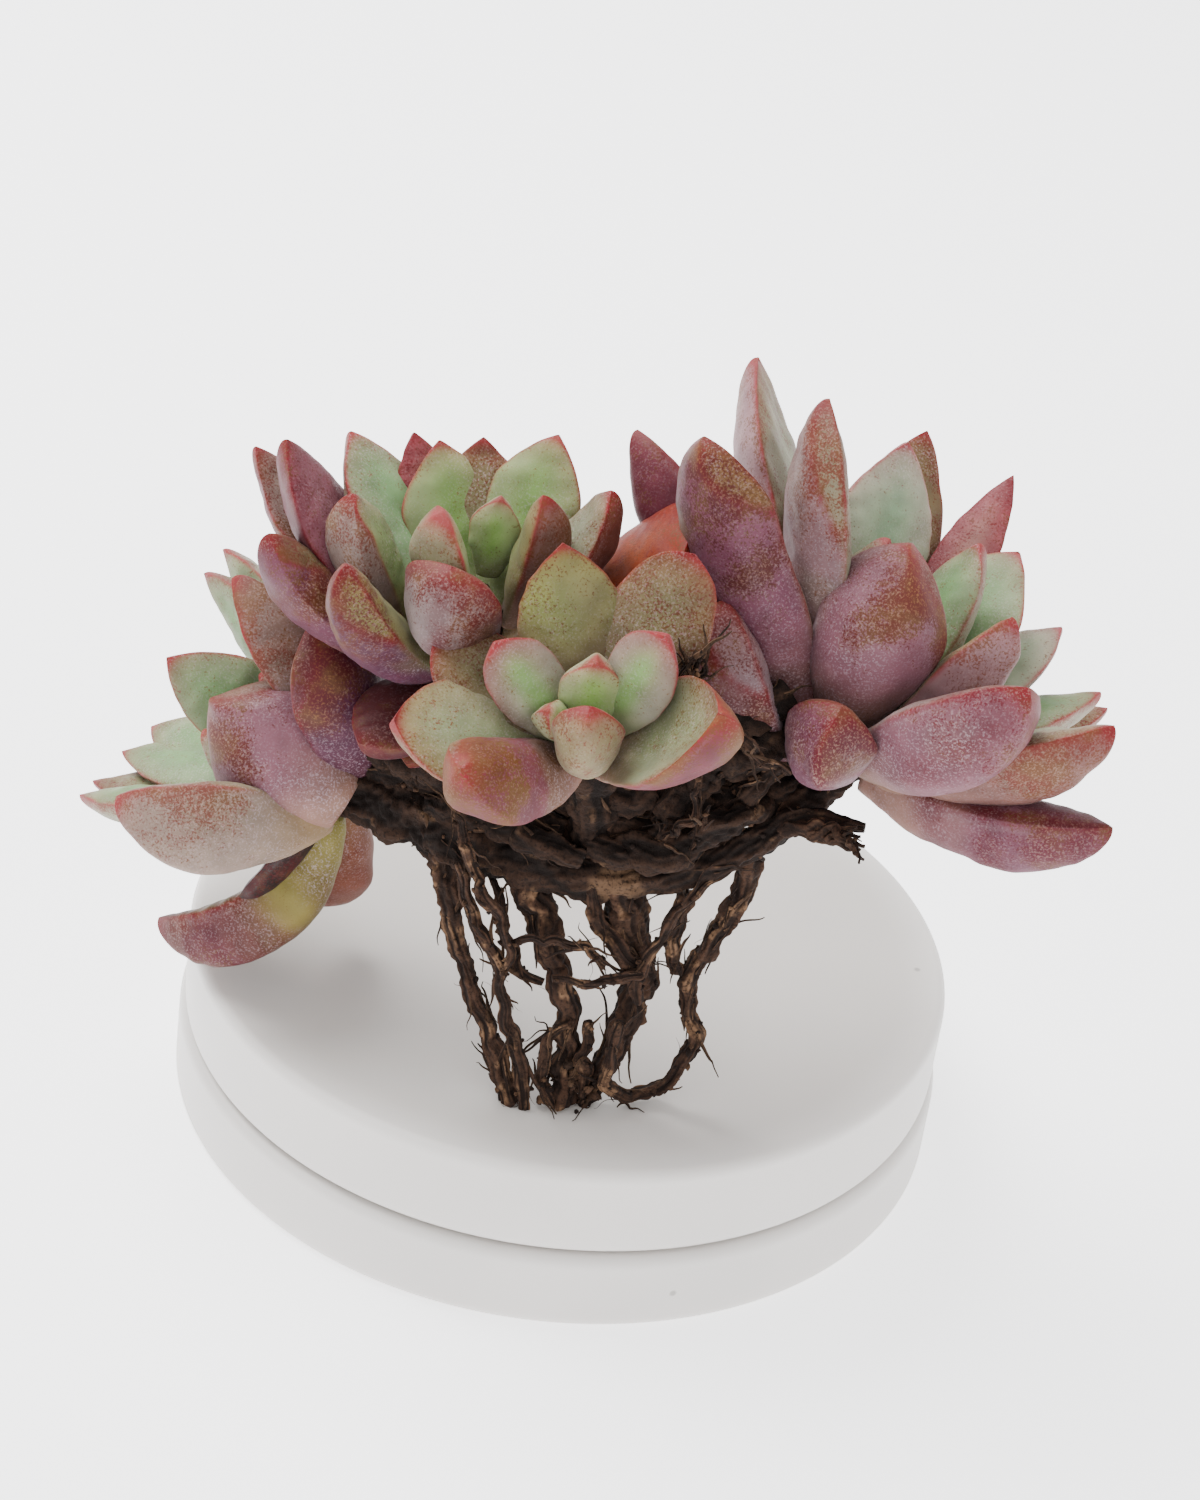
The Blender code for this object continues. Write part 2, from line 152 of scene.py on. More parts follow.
# Leaf skin: a living waxy epidermis under farina, the loose powdery bloom that such rosettes
# carry. It looks satin and soft, a little paler at glancing angles, with rust-red pigment
# grains that crowd together where the sun reaches.
leafSkin = {
    "patterns": {                   # each one's size in mm, then its noise's detail and roughness
        "grain": (0.24, 2.0, 0.6),      # one pigment grain, a little coarser than real, so that it shows
        "cluster": (1.3, 2.0, 0.5),     # how grains gather
        "frost": (0.22, 2.0, 0.65),     # clumps of powder
        "mottle": (3.0, 3.0, 0.5),      # uneven tint under the powder
    },
    "grainShare": 0.88,     # how much of the skin a grain hides
    "ochreShare": 0.55,     # how far a grain turns ochre
    "powderShare": 0.46,    # how much of the skin a clump of powder hides
    "depth": 0.46,          # darkens the flesh under its powder
    "frost": "#D0BCC8",     # powder on clean skin
    "gold": "#A87C4C",      # and among the grains
    "ochre": "#6F5626",     # pigment that has aged
    "roughness": 0.5,
    "relief": 0.12,         # mm
    "scatter": 1.4,         # mm, how far light travels in the flesh
}


def makeLeafSkin():
    look = leafSkin
    material, tree, shader = newMaterial("powderyLeafSkin", {
        "IOR": 1.4, "Specular IOR Level": 0.24, "Subsurface Weight": 0.12,
        "Subsurface Radius": (1.0, 0.4, 0.25), "Subsurface Scale": look["scatter"] * mm,
        "Sheen Weight": 0.04, "Sheen Roughness": 0.5, "Sheen Tint": toLinear("#E8DDE2")})
    place = addNode(tree, "TexCoord").outputs["Object"]
    flesh, stain, marks = [addNode(tree, "Attribute", {"attribute_name": name})
                           for name in ("flesh", "stain", "marks")]
    amounts = addNode(tree, "SeparateColor", links={0: marks}).outputs
    patterns = {key: addNode(tree, "TexNoise", {"Scale": 1 / (size * mm), "Detail": detail,
                                                "Roughness": roughness}, {"Vector": place})
                for key, (size, detail, roughness) in look["patterns"].items()}

    # grains: where the two noises together pass a threshold that falls as the pigment thickens
    gathered = addNode(tree, "Math", {"operation": "MULTIPLY", 1: 0.3}, {0: patterns["cluster"]})
    field = addNode(tree, "Math", {"operation": "MULTIPLY_ADD", 1: 0.7}, {0: patterns["grain"], 2: gathered})
    lifted = addNode(tree, "Math", {"operation": "MULTIPLY_ADD", 1: 0.34}, {0: amounts[0], 2: field})
    grains = addNode(tree, "MapRange", smooth | {"From Min": 0.58, "From Max": 0.74}, {"Value": lifted})
    grainShare = addNode(tree, "Math", {"operation": "MULTIPLY", 1: look["grainShare"]}, {0: grains})
    ochreShare = addNode(tree, "MapRange", smooth | {
        "From Min": 0.44, "From Max": 0.66, "To Max": look["ochreShare"]}, {"Value": patterns["mottle"]})
    pigment = addNode(tree, "Mix", colourMix | {7: toLinear(look["ochre"])}, {0: ochreShare, 6: stain})
    stained = addNode(tree, "Mix", colourMix, {0: grainShare, 6: flesh, 7: pigment.outputs[2]})
    shade = addNode(tree, "MapRange", {"From Min": 0.3, "From Max": 0.7, "To Min": look["depth"] * 0.84,
                                       "To Max": look["depth"] * 1.16}, {"Value": patterns["mottle"]})
    shaded = addNode(tree, "VectorMath", {"operation": "SCALE"}, {0: stained.outputs[2], "Scale": shade})
    powder = addNode(tree, "MapRange", smooth | {
        "From Min": 0.48, "From Max": 0.68, "To Max": look["powderShare"]}, {"Value": patterns["frost"]})
    powderShare = addNode(tree, "Math", {"operation": "MULTIPLY"}, {0: powder, 1: amounts[1]})
    powderTint = addNode(tree, "Mix", colourMix | {6: toLinear(look["frost"]), 7: toLinear(look["gold"])},
                         {0: amounts[0]})
    powdered = addNode(tree, "Mix", colourMix, {0: powderShare, 6: shaded, 7: powderTint.outputs[2]})
    tree.links.new(powdered.outputs[2], shader.inputs["Base Color"])

    rough = addNode(tree, "MapRange", {
        "From Min": 0.3, "From Max": 0.7, "To Min": look["roughness"] - 0.08,
        "To Max": look["roughness"] + 0.12}, {"Value": patterns["frost"]})
    tree.links.new(rough.outputs[0], shader.inputs["Roughness"])
    relief = addNode(tree, "Math", {"operation": "MULTIPLY_ADD", 1: 0.4},
                     {0: patterns["frost"], 2: patterns["mottle"]})
    bump = addNode(tree, "Bump", {"Strength": 0.4, "Distance": look["relief"] * mm}, {"Height": relief})
    tree.links.new(bump.outputs[0], shader.inputs["Normal"])
    return material


# Colours of a leaf. face is the side that looks to the rosette's middle, tipFace its outer
# part and stripe its midline; back is the outer side; stain is the pigment that gathers towards
# the tip; foot is the pale part by the crown; rim is the margin's line. grain and faceGrain
# are how much pigment the back and the face carry, bloom how much powder, and shade darkens all
# but the rim.
skinColours = ("face", "tipFace", "stripe", "back", "stain", "foot", "rim")
skinAmounts = ("grain", "faceGrain", "bloom", "shade")
skinRows = {
    "sage": ("#A0BE8C #A8B284 #92BC7C #A6A688 #9A5440 #BEBB8C #B8343E", 0.35, 0.1, 0.45, 1),
    "pale": ("#C6D2B0 #CCC2AA #ACCCA0 #C8BFAA #A8685C #D0CCA8 #BE4C56", 0.2, 0.08, 0.4, 1),
    "green": ("#ACC184 #B2B87C #98BE68 #A8A880 #94582E #AEB67E #B02C36", 0.25, 0.06, 0.35, 0.97),
    "tan": ("#9E8C68 #8E6E48 #9C9468 #937468 #7C3C28 #B9986C #A4222E", 0.6, 0.35, 0.5, 0.86),
    "olive": ("#90885A #A6A264 #9EA464 #8A6454 #743C16 #93725E #A01E2A", 0.6, 0.22, 0.3, 0.85),
    "lilac": ("#AC9490 #94705A #A49080 #A46C7A #702818 #C89A84 #9C1C28", 0.7, 0.4, 0.6, 0.86),
    "mauve": ("#947454 #7E5430 #8E8458 #8A4860 #6C2416 #A8766A #941824", 0.65, 0.5, 0.5, 0.7),
    "plum": ("#8A5E58 #74482C #7E6450 #703450 #681C14 #7A4050 #8A121E", 0.8, 0.7, 0.5, 0.76),
    "pink": ("#B0AC84 #A88A62 #A8B07E #B2686C #843424 #DAB08C #A82430", 0.6, 0.3, 0.45, 0.82),
    "crimson": ("#7E3A40 #6E2028 #7E3E40 #6E3240 #5A1018 #C48C70 #740C18", 0.6, 0.5, 0.3, 0.6),
    "rose": ("#C87A7C #B8505A #C68A80 #C0606C #8A242C #CFA090 #961C2C", 0.35, 0.3, 0.25, 0.85),
    "orange": ("#C8481C #BC3418 #CC5A22 #BC3418 #82180C #B86A34 #9A1214", 0.4, 0.4, 0.15, 0.62),
}
skins = {name: dict(zip(skinColours, colours.split())) | dict(zip(skinAmounts, amounts))
         for name, (colours, *amounts) in skinRows.items()}


def variant(name, base, **changes):
    # a skin that differs from another in a few of its colours or amounts
    skins[name] = skins[base] | changes


variant("violet", "plum", back="#823848", face="#AA6E7C", tipFace="#A25260", stripe="#A86C78",
        foot="#9A5064", stain="#74202C", shade=0.8, grain=0.35, faceGrain=0.25, bloom=0.25)
variant("wine", "plum", shade=0.78, back="#96566C", stain="#5E1C14", face="#A89C78", tipFace="#94602C",
        stripe="#A8A07C", foot="#C08A88", grain=0.8, faceGrain=0.4)
variant("blotch", "plum", shade=0.85, back="#B4A09C", stain="#702018", foot="#702A34", grain=0.6)
variant("dusk", "mauve", back="#AC8488", face="#B0AE90", tipFace="#A08C68", foot="#C8A494", stain="#84402C",
        grain=0.4, shade=0.84)
variant("blush", "pink", back="#CC9EA2", face="#BCB494", tipFace="#A8904E", foot="#D8AE9C", stain="#94503C",
        grain=0.4, faceGrain=0.35)
variant("rosewood", "pink", back="#A27268", foot="#D0A084")
variant("rosy", "pink", back="#9A4C58", stain="#7C4A14", grain=0.9, face="#AEB488", foot="#DCA890",
        shade=0.72)
variant("stripy", "green", face="#B8B09C", tipFace="#B48478", stripe="#A0C878", back="#B08C8E")
variant("sageOlive", "sage", face="#B6B088", tipFace="#A89A62", stripe="#AAB484", stain="#98502C",
        rim="#A8222E", faceGrain=0.2)
variant("tanGreen", "tan", shade=0.96, back="#A08A80", face="#A8B87C", tipFace="#A2A070", stripe="#A4BA78",
        faceGrain=0.1)
variant("bright", "green", face="#CCE4A0", tipFace="#CCCC94", stripe="#B0DC78", back="#C8D4A4")
variant("sageRose", "sageOlive", back="#A89A72", stain="#98483C", grain=0.5)
variant("greyTan", "tan", face="#B8BC9C", tipFace="#A89870", stripe="#B4B894", back="#7C4434",
        faceGrain=0.15)
variant("leafGreen", "olive", face="#A0A860", tipFace="#A8B458", stripe="#9CB05C", foot="#A0826C")
variant("plumTan", "plum", shade=0.84, back="#8A5468", face="#9A7C80", tipFace="#86605E", stain="#6A2430",
        grain=0.5, bloom=0.8)
variant("ruby", "lilac", stain="#7C2434", grain=0.6)
variant("heather", "plum", face="#A88C92", tipFace="#9A7070", stripe="#A68C8C", back="#82484C",
        stain="#641E18", foot="#A8767C", shade=0.84, faceGrain=0.35, bloom=0.7)
variant("deepPlum", "plum", face="#7E4A54", tipFace="#743C3C", stripe="#7A4650", stain="#641C22",
        grain=0.65, faceGrain=0.5)
variant("greyPink", "tan", back="#B49C8C", face="#A89878", stain="#8A4C3C", grain=0.45, shade=0.92,
        bloom=0.6)
variant("goldEdge", "plum", face="#A8A468", tipFace="#9A8848", stripe="#A8A468", faceGrain=0.45)
variant("berry", "crimson", back="#8C5064", stain="#701C2C", foot="#C89A88", shade=0.86, grain=0.5,
        bloom=0.4)
variant("salmon", "pink", back="#A86450", face="#A87054", foot="#B4825A", grain=0.3)
variant("jay", "mauve", face="#8A8C50", tipFace="#6E5A34", stripe="#8A8C50", back="#7C2E3C", foot="#C8BC60",
        rim="#8E1420", grain=0.4)
variant("dead", "crimson", back="#3A2420", face="#3E2A24", tipFace="#32201C", stripe="#3E2A24",
        foot="#4A3428", rim="#2A1614", bloom=0.1)

leafGrid = {"rows": 80, "columns": 60}
leafValues = ("heading", "opening", "length", "width", "thickness", "curl", "rise", "tint")
leafUsual = {"neck": 0.42, "peak": 0.58, "cup": 0.05, "twist": 0, "blunt": 0.25, "keel": 0.25, "crest": None,
             "roll": None, "lean": 0.0, "footReach": 0.42, "streak": (0.0, 0.0), "faceShare": 0.34,
             "seat": None}


def leaf(*values, **extra):
    # heading and opening in degrees round and from the rosette's axis, sizes in mm, the curl back
    # to the axis in degrees and the rise along it in mm; tint is the skin where none is named.
    # neck is the foot's share of the width, peak where the leaf is widest,
    # cup how far its margins lift, blunt 0 for a pointed end and 1 for a round one.
    # crest=(place, way, start) is a ridge on the back: from start it runs from the margin on that
    # way's side to its place across the tip, with the face's colours beyond it.
    # roll=(place, way, start) is a fleshy margin rolled over the face: the back's colours reach to
    # that place, and from start on draw back to the tip. lean gathers the pigment on one side,
    # streak=(place, amount) is a dark line down the back, and seat is how far from the axis the
    # leaf grows when that isn't the crown's own radius.
    spec = dict(zip(leafValues, values))
    return leafUsual | {"skin": spec["tint"]} | spec | extra


rosettes = {
    "left": {
        "foot": (-24, -14, 23.2), "tilt": 68, "towards": 158, "crown": 3.0,
        "stem": [(-13.5, -19.5, 23.8), (-18.5, -17, 24)], "stemRadii": [3.2, 3.3],
        "leaf": [
            leaf(240, 17, 16.5, 14, 7.5, 34, -1.5, "mauve", skin="lilac", peak=0.55, crest=(0.45, 1, 0.6),
                 lean=-0.3, keel=0.4, blunt=0.2),
            leaf(308, 58, 16, 12.5, 7, 20, 0, "rust", skin="deepPlum", crest=(-0.78, -1, 0.5), lean=-0.8,
                 footReach=0.2, blunt=0.5),
            leaf(320, 34, 20, 9.5, 5, 20, 2, "mauve", skin="tan", lean=-0.3),
            leaf(200, 58, 20.5, 11, 7.5, 35, 0, "mauve", skin="greyPink", lean=0.2),
            leaf(150, 117, 25, 8.5, 6, 95, 0, "mauve", skin="jay", neck=0.34, peak=0.66, footReach=0.7,
                 twist=28),
            leaf(112, 112, 17, 8.5, 4.5, 15, 0, "pink", skin="salmon", blunt=0.8),
            leaf(70, -8, 19, 9, 4, 18, 3, "sage"),
            leaf(122, 46, 23.5, 8, 4, 12, 4, "sage"),
            leaf(146, 45, 25.5, 8, 4, 10, 2, "sage"),
            leaf(25, 22, 24, 8.5, 4, 12, 2, "sage")],
        "heart": [
            leaf(200, 14, 11, 6, 4, 10, 3, "sage"),
            leaf(80, 16, 11, 6, 4, 10, 3, "sage"),
            leaf(320, 14, 10, 6, 4, 10, 3, "sage")],
        "small": [
            leaf(108, 45, 23, 9, 4.5, 10, 4, "sage"),
            leaf(132, 45, 28, 8, 4, 10, 1, "sage", skin="pink"),
            leaf(28, 29, 28, 8, 4, 12, 0, "sage")],
        "dead": [
            leaf(165, 88, 12, 6, 2.2, 10, 0, "crimson", skin="dead")]},
    "top": {
        "foot": (-13, -13, 39.2), "tilt": 6, "towards": -60, "crown": 2.5,
        "stem": [(-5, -20, 26.5), (-8, -17, 31), (-11, -14.5, 36)], "stemRadii": [2.6, 2.6, 2.8],
        "leaf": [
            leaf(178, 28, 16.5, 8, 5.5, 5, 1, "mauve", skin="tanGreen", roll=(0.6, 1, 0.75), seat=6.5),
            leaf(250, 54, 12.6, 10, 6.5, 45, 5, "rust", skin="blotch", blunt=1.3, footReach=0.35, keel=0.05,
                 streak=(0.1, 1.0)),
            leaf(15, 36, 18.5, 8, 4.5, 20, 3, "mauve", skin="greyTan", lean=0.4),
            leaf(120, 48, 17, 9.5, 4, 15, 3, "green"),
            leaf(145, 57, 20.5, 9.5, 4.5, 12, 3, "sage"),
            leaf(68, 42, 18, 9.5, 4.5, 15, 4, "sage", skin="green"),
            leaf(100, 45, 18, 9.5, 4.5, 12, 2, "sage", skin="tan"),
            leaf(218, 57, 19.5, 8, 6, 35, 0.2, "rust", footReach=0.2, crest=(0.5, 1, 0.55), seat=4,
                 blunt=0.45, skin="goldEdge"),
            leaf(185, 81, 22, 9.5, 5.5, 45, 0, "mauve", roll=(-0.6, 1, 0.5), faceShare=0.45),
            leaf(165, 69, 26, 9.5, 4.5, 42, 0, "mauve", skin="violet"),
            leaf(157, 80, 27, 9, 4, 34, 0, "sage", skin="lilac"),
            leaf(10, 56, 24.5, 12, 6, 30, 0, "orange", blunt=1.15)],
        "heart": [
            leaf(205, 19, 10.5, 8.5, 4.5, 6, 7, "sage", skin="green", blunt=0.6),
            leaf(90, 5, 8.5, 5, 3.5, 4, 8, "green", skin="bright"),
            leaf(0, 11, 14.5, 7, 4.5, 10, 5, "mauve", skin="olive")],
        "small": [
            leaf(125, 47, 20.5, 8, 4, 12, 0, "pink", skin="rose"),
            leaf(-8, 62, 25, 7, 4, 25, -2, "crimson"),
            leaf(232, 100, 12, 9, 5, 0, -2, "rust", skin="crimson", footReach=0.1, blunt=0.5),
            leaf(250, 112, 9, 7, 4, 0, -3, "rust", skin="crimson", footReach=0.1, blunt=0.5)]},
    "front": {
        "foot": (-1, -27, 39.2), "tilt": 32, "towards": -90, "crown": 1.5,
        "stem": [(1, -22, 26), (0.5, -22, 30), (-0.3, -23.5, 35)], "stemRadii": [2.6, 2.5, 2.5],
        "leaf": [
            leaf(152, 60, 12, 7, 4, 20, 1.7, "sage", twist=-20, blunt=0.9, skin="stripy"),
            leaf(42, 32, 14, 6.8, 4, 10, 2, "green", twist=15, blunt=0.9, skin="stripy"),
            leaf(220, 66, 17, 9.5, 6, 40, -0.6, "pink", blunt=0.7, skin="rosy", roll=(-0.85, 1, 0.99),
                 cup=-0.08, faceShare=0.5),
            leaf(-10, 56, 19, 11, 4.5, 40, 0, "pink", cup=0.25, blunt=0.4, skin="rosy"),
            leaf(188, 83, 17.5, 11, 4.5, 25, 0, "sage", cup=0.1, skin="sageOlive", blunt=0.5),
            leaf(108, 60, 18, 10, 4, 15, 0.5, "green", skin="leafGreen", footReach=1.15),
            leaf(64, 60, 19.5, 10, 4, 15, 0.5, "sage", skin="tan", blunt=1.0),
            leaf(156, 80, 16, 9, 4, 15, 0, "sage", skin="tan", blunt=0.9)],
        "heart": [
            leaf(270, 12, 9, 6.6, 5, 30, 2.3, "sage", skin="sageRose", blunt=0.7, keel=0.1, neck=0.75),
            leaf(92, 20, 8, 6.5, 4, 5, 3, "green", skin="bright"),
            leaf(180, 30, 5.5, 4, 3, 5, 3, "green", skin="bright")]},
    "right": {
        "foot": (23, -13, 35.2), "tilt": 22, "towards": 45, "crown": 3.5,
        "stem": [(18, -18, 29.5), (20.5, -15.8, 31.5)], "stemRadii": [2.4, 2.8],
        "leaf": [
            leaf(250, 24, 19.2, 13, 7.5, 28, 3.2, "mauve", skin="lilac", lean=0.6, keel=0.45, blunt=0.3,
                 crest=(0.75, 1, 0.75)),
            leaf(192, 30, 27.5, 12.5, 5.5, 8, 6, "mauve", crest=(0.6, 1, 0.5), skin="dusk", peak=0.66),
            leaf(120, 22, 25, 12, 5, 10, 4, "sage", skin="pale"),
            leaf(330, 30, 18.5, 10, 5, 15, 2, "mauve", skin="blush"),
            leaf(255, 80, 13, 9, 7, 45, 0, "mauve", skin="plumTan", crest=(0.1, 1, 0.4), keel=0.6,
                 blunt=0.5),
            leaf(305, 62, 22, 13, 7.5, 28, 1, "mauve", skin="ruby", lean=0.4, blunt=0.7,
                 streak=(-0.5, 1.0)),
            leaf(206, 60, 18.5, 10.5, 7, 30, -2.4, "rust", skin="heather", crest=(0.5, 1, 0.5), blunt=0.6,
                 seat=5.6),
            leaf(155, 45, 32, 14.5, 5, 10, 5, "pink", twist=10, skin="blush", peak=0.66),
            leaf(200, 54, 31.5, 11.5, 6, 16, 2, "rust", twist=35, skin="wine", crest=(0.3, 1, 0.75),
                 footReach=0.5, peak=0.72, blunt=0.45, neck=0.34),
            leaf(100, 33, 31, 10, 4, 10, 1, "sage", skin="tan"),
            leaf(45, 30, 21.5, 13, 4.5, 10, 3, "sage"),
            leaf(65, 30, 30, 6.5, 3.5, 10, 1, "pink", skin="rose"),
            leaf(172, 63, 32.5, 11.5, 5, 16, 1, "pink", twist=40, skin="violet", peak=0.68),
            leaf(333, 67, 25, 12, 6, 25, 0, "pink", skin="rosewood"),
            leaf(35, 54, 23, 9, 4, 15, 1, "sage", skin="pale"),
            leaf(340, 88, 24.5, 9, 6.5, 25, -1, "crimson", footReach=0.6, skin="berry",
                 roll=(-0.85, 1, 0.99))],
        "heart": [
            leaf(30, 10, 17, 8, 4, 10, 6, "sage"),
            leaf(150, 8, 14, 7, 4, 10, 6, "sage"),
            leaf(265, 8, 12, 7, 4, 10, 6, "sage")],
        "small": [
            leaf(15, 65, 23, 8, 4, 15, 1, "sage"),
            leaf(32, 76, 28, 8, 4, 15, 0, "sage", skin="pink")]},
}


def rosetteAxes(rosette):
    # the axis that the leaves open from, and two directions square to it
    tilt, towards = math.radians(rosette["tilt"]), math.radians(rosette["towards"])
    axis = np.array([math.sin(tilt) * math.cos(towards), math.sin(tilt) * math.sin(towards), math.cos(tilt)])
    first = np.array([1.0, 0.0, 0.0])
    first = unitRows(first - axis * (first @ axis))
    return axis, first, np.cross(axis, first)


leafForm = {
    "rowCrowding": 1.6,     # rows crowd towards the tip
    "sway": 0.5,            # mm, how far a tip strays to a side
    "pinch": 0.5,           # mm, length of the small drawn-out point
    "backShare": 0.68,      # the back's share of the thickness
    "keelWidth": 0.35,      # share of the half width
    "swells": ((0, 7.0, 0.14), (1, 2.2, 0.05)),      # step of the seed, size and height in mm
}


def leafSurface(rosette, spec, seed):
    # a fleshy leaf on (u along, angle round): rings on a midline that opens from the axis and
    # curls back by its angle. Width goes from the neck to the peak on a sine and down to a drawn-
    # out tip; the face is nearly flat, and the back is deep with a keel under the crest.
    form = leafForm
    axis, first, second = rosetteAxes(rosette)
    heading = math.radians(spec["heading"])
    out = math.cos(heading) * first + math.sin(heading) * second
    side = np.cross(axis, out)
    fine = np.linspace(0, 1, 400)
    bend = np.radians(spec["opening"] - spec["curl"] * fine)
    tangents = np.cos(bend)[:, None] * axis + np.sin(bend)[:, None] * out
    walk = np.vstack([np.zeros(3), np.cumsum((tangents[1:] + tangents[:-1]) / 2, axis=0)])
    walk = walk * spec["length"] / (len(fine) - 1)
    foot = np.array(rosette["foot"]) + [0, 0, seatHeight] + axis * spec["rise"]
    foot = foot + out * (spec["seat"] or rosette["crown"])
    along = 1 - (1 - np.linspace(0, 1, leafGrid["rows"])) ** form["rowCrowding"]
    line = foot + np.stack([np.interp(along, fine, walk[:, i]) for i in range(3)], axis=-1)
    bend = np.radians(spec["opening"] - spec["curl"] * along)
    normals = np.sin(bend)[:, None] * axis - np.cos(bend)[:, None] * out
    twist = math.radians(spec["twist"])
    across = math.cos(twist) * side + math.sin(twist) * normals
    normals = math.cos(twist) * normals - math.sin(twist) * side
    draw = np.random.default_rng(seed)
    line = line + across * (draw.uniform(-form["sway"], form["sway"]) * along ** 2)[:, None]

    angle = np.linspace(0, 2 * math.pi, leafGrid["columns"], endpoint=False)
    wide, deep = np.cos(angle)[None, :], np.sin(angle)[None, :]
    u = along[:, None]
    rise = spec["neck"] + (1 - spec["neck"]) * np.sin(np.clip(u / spec["peak"], 0, 1) * math.pi / 2)
    past = np.clip((u - spec["peak"]) / (1 - spec["peak"]), 0, 1)
    pointed = np.cos(past * math.pi / 2) ** 0.95
    rounded = (1 - past ** 2.6) ** 0.55
    share = np.where(u < spec["peak"], rise, (1 - spec["blunt"]) * pointed + spec["blunt"] * rounded)
    toTip = (1 - u) * spec["length"]
    share = share * (1 - 0.4 * np.exp(-toTip / form["pinch"]))
    halfWidth = spec["width"] / 2 * share
    swellOut = 0.5 + 0.5 * np.sin(np.clip(u / 0.5, 0, 1) * math.pi / 2)
    thinDown = np.cos(np.clip((u - 0.5) / 0.5, 0, 1) * math.pi / 2) ** 0.55
    thick = spec["thickness"] * np.where(u < 0.5, swellOut, thinDown)
    place, way, start = spec["crest"] or (0.0, 0.0, 0.3)
    ridge = place + (way - place) * smoothStep(0.95, start, u)
    flatness = 0.25 + 0.6 * u
    profile = (1 - flatness) * np.abs(deep) + flatness * (1 - np.abs(wide) ** 2.4)
    keel = np.exp(-((wide - ridge * 0.8) / form["keelWidth"]) ** 2) * smoothStep(0.3, 0.8, u)
    back = -form["backShare"] * (1 + spec["keel"] * keel)
    height = profile * np.where(deep > 0, spec["faceShare"], back) * thick
    height = height + spec["cup"] * spec["width"] * np.sin(math.pi * u * 0.85) * wide ** 2
    points = line[:, None] + across[:, None] * (wide * halfWidth)[..., None]
    points = points + normals[:, None] * height[..., None]
    outward = unitRows(across[:, None] * (wide * thick + 1e-6)[..., None]
                       + normals[:, None] * (deep * halfWidth)[..., None])
    swell = sum(tall * ripple(points, seed + step, size) for step, size, tall in form["swells"])
    points = points + outward * (swell * (1 - smoothStep(0.88, 1.0, u)))[..., None]
    return points, u, wide, deep, toTip, ridge


leafMarks = {
    "wash": 0.42,           # how far the pigment tints the skin between its grains
    "rim": 0.26,            # mm, the line on the margin
    "blush": 1.1,           # mm, the tint beside it
    "point": 0.8,           # mm, the tip's colour
    "paleEdgeAndSheen": (0.75, 0.3),  # mm, a pale band inside the back's rim, partly the leaf's own pale margin and partly painted sheen of glancing light: its place and width
    "paleEdgeAndSheenColour": "#C9B4B4",
    "streak": 0.25,         # share of the half width
    "streakColour": "#6A1C28",
}


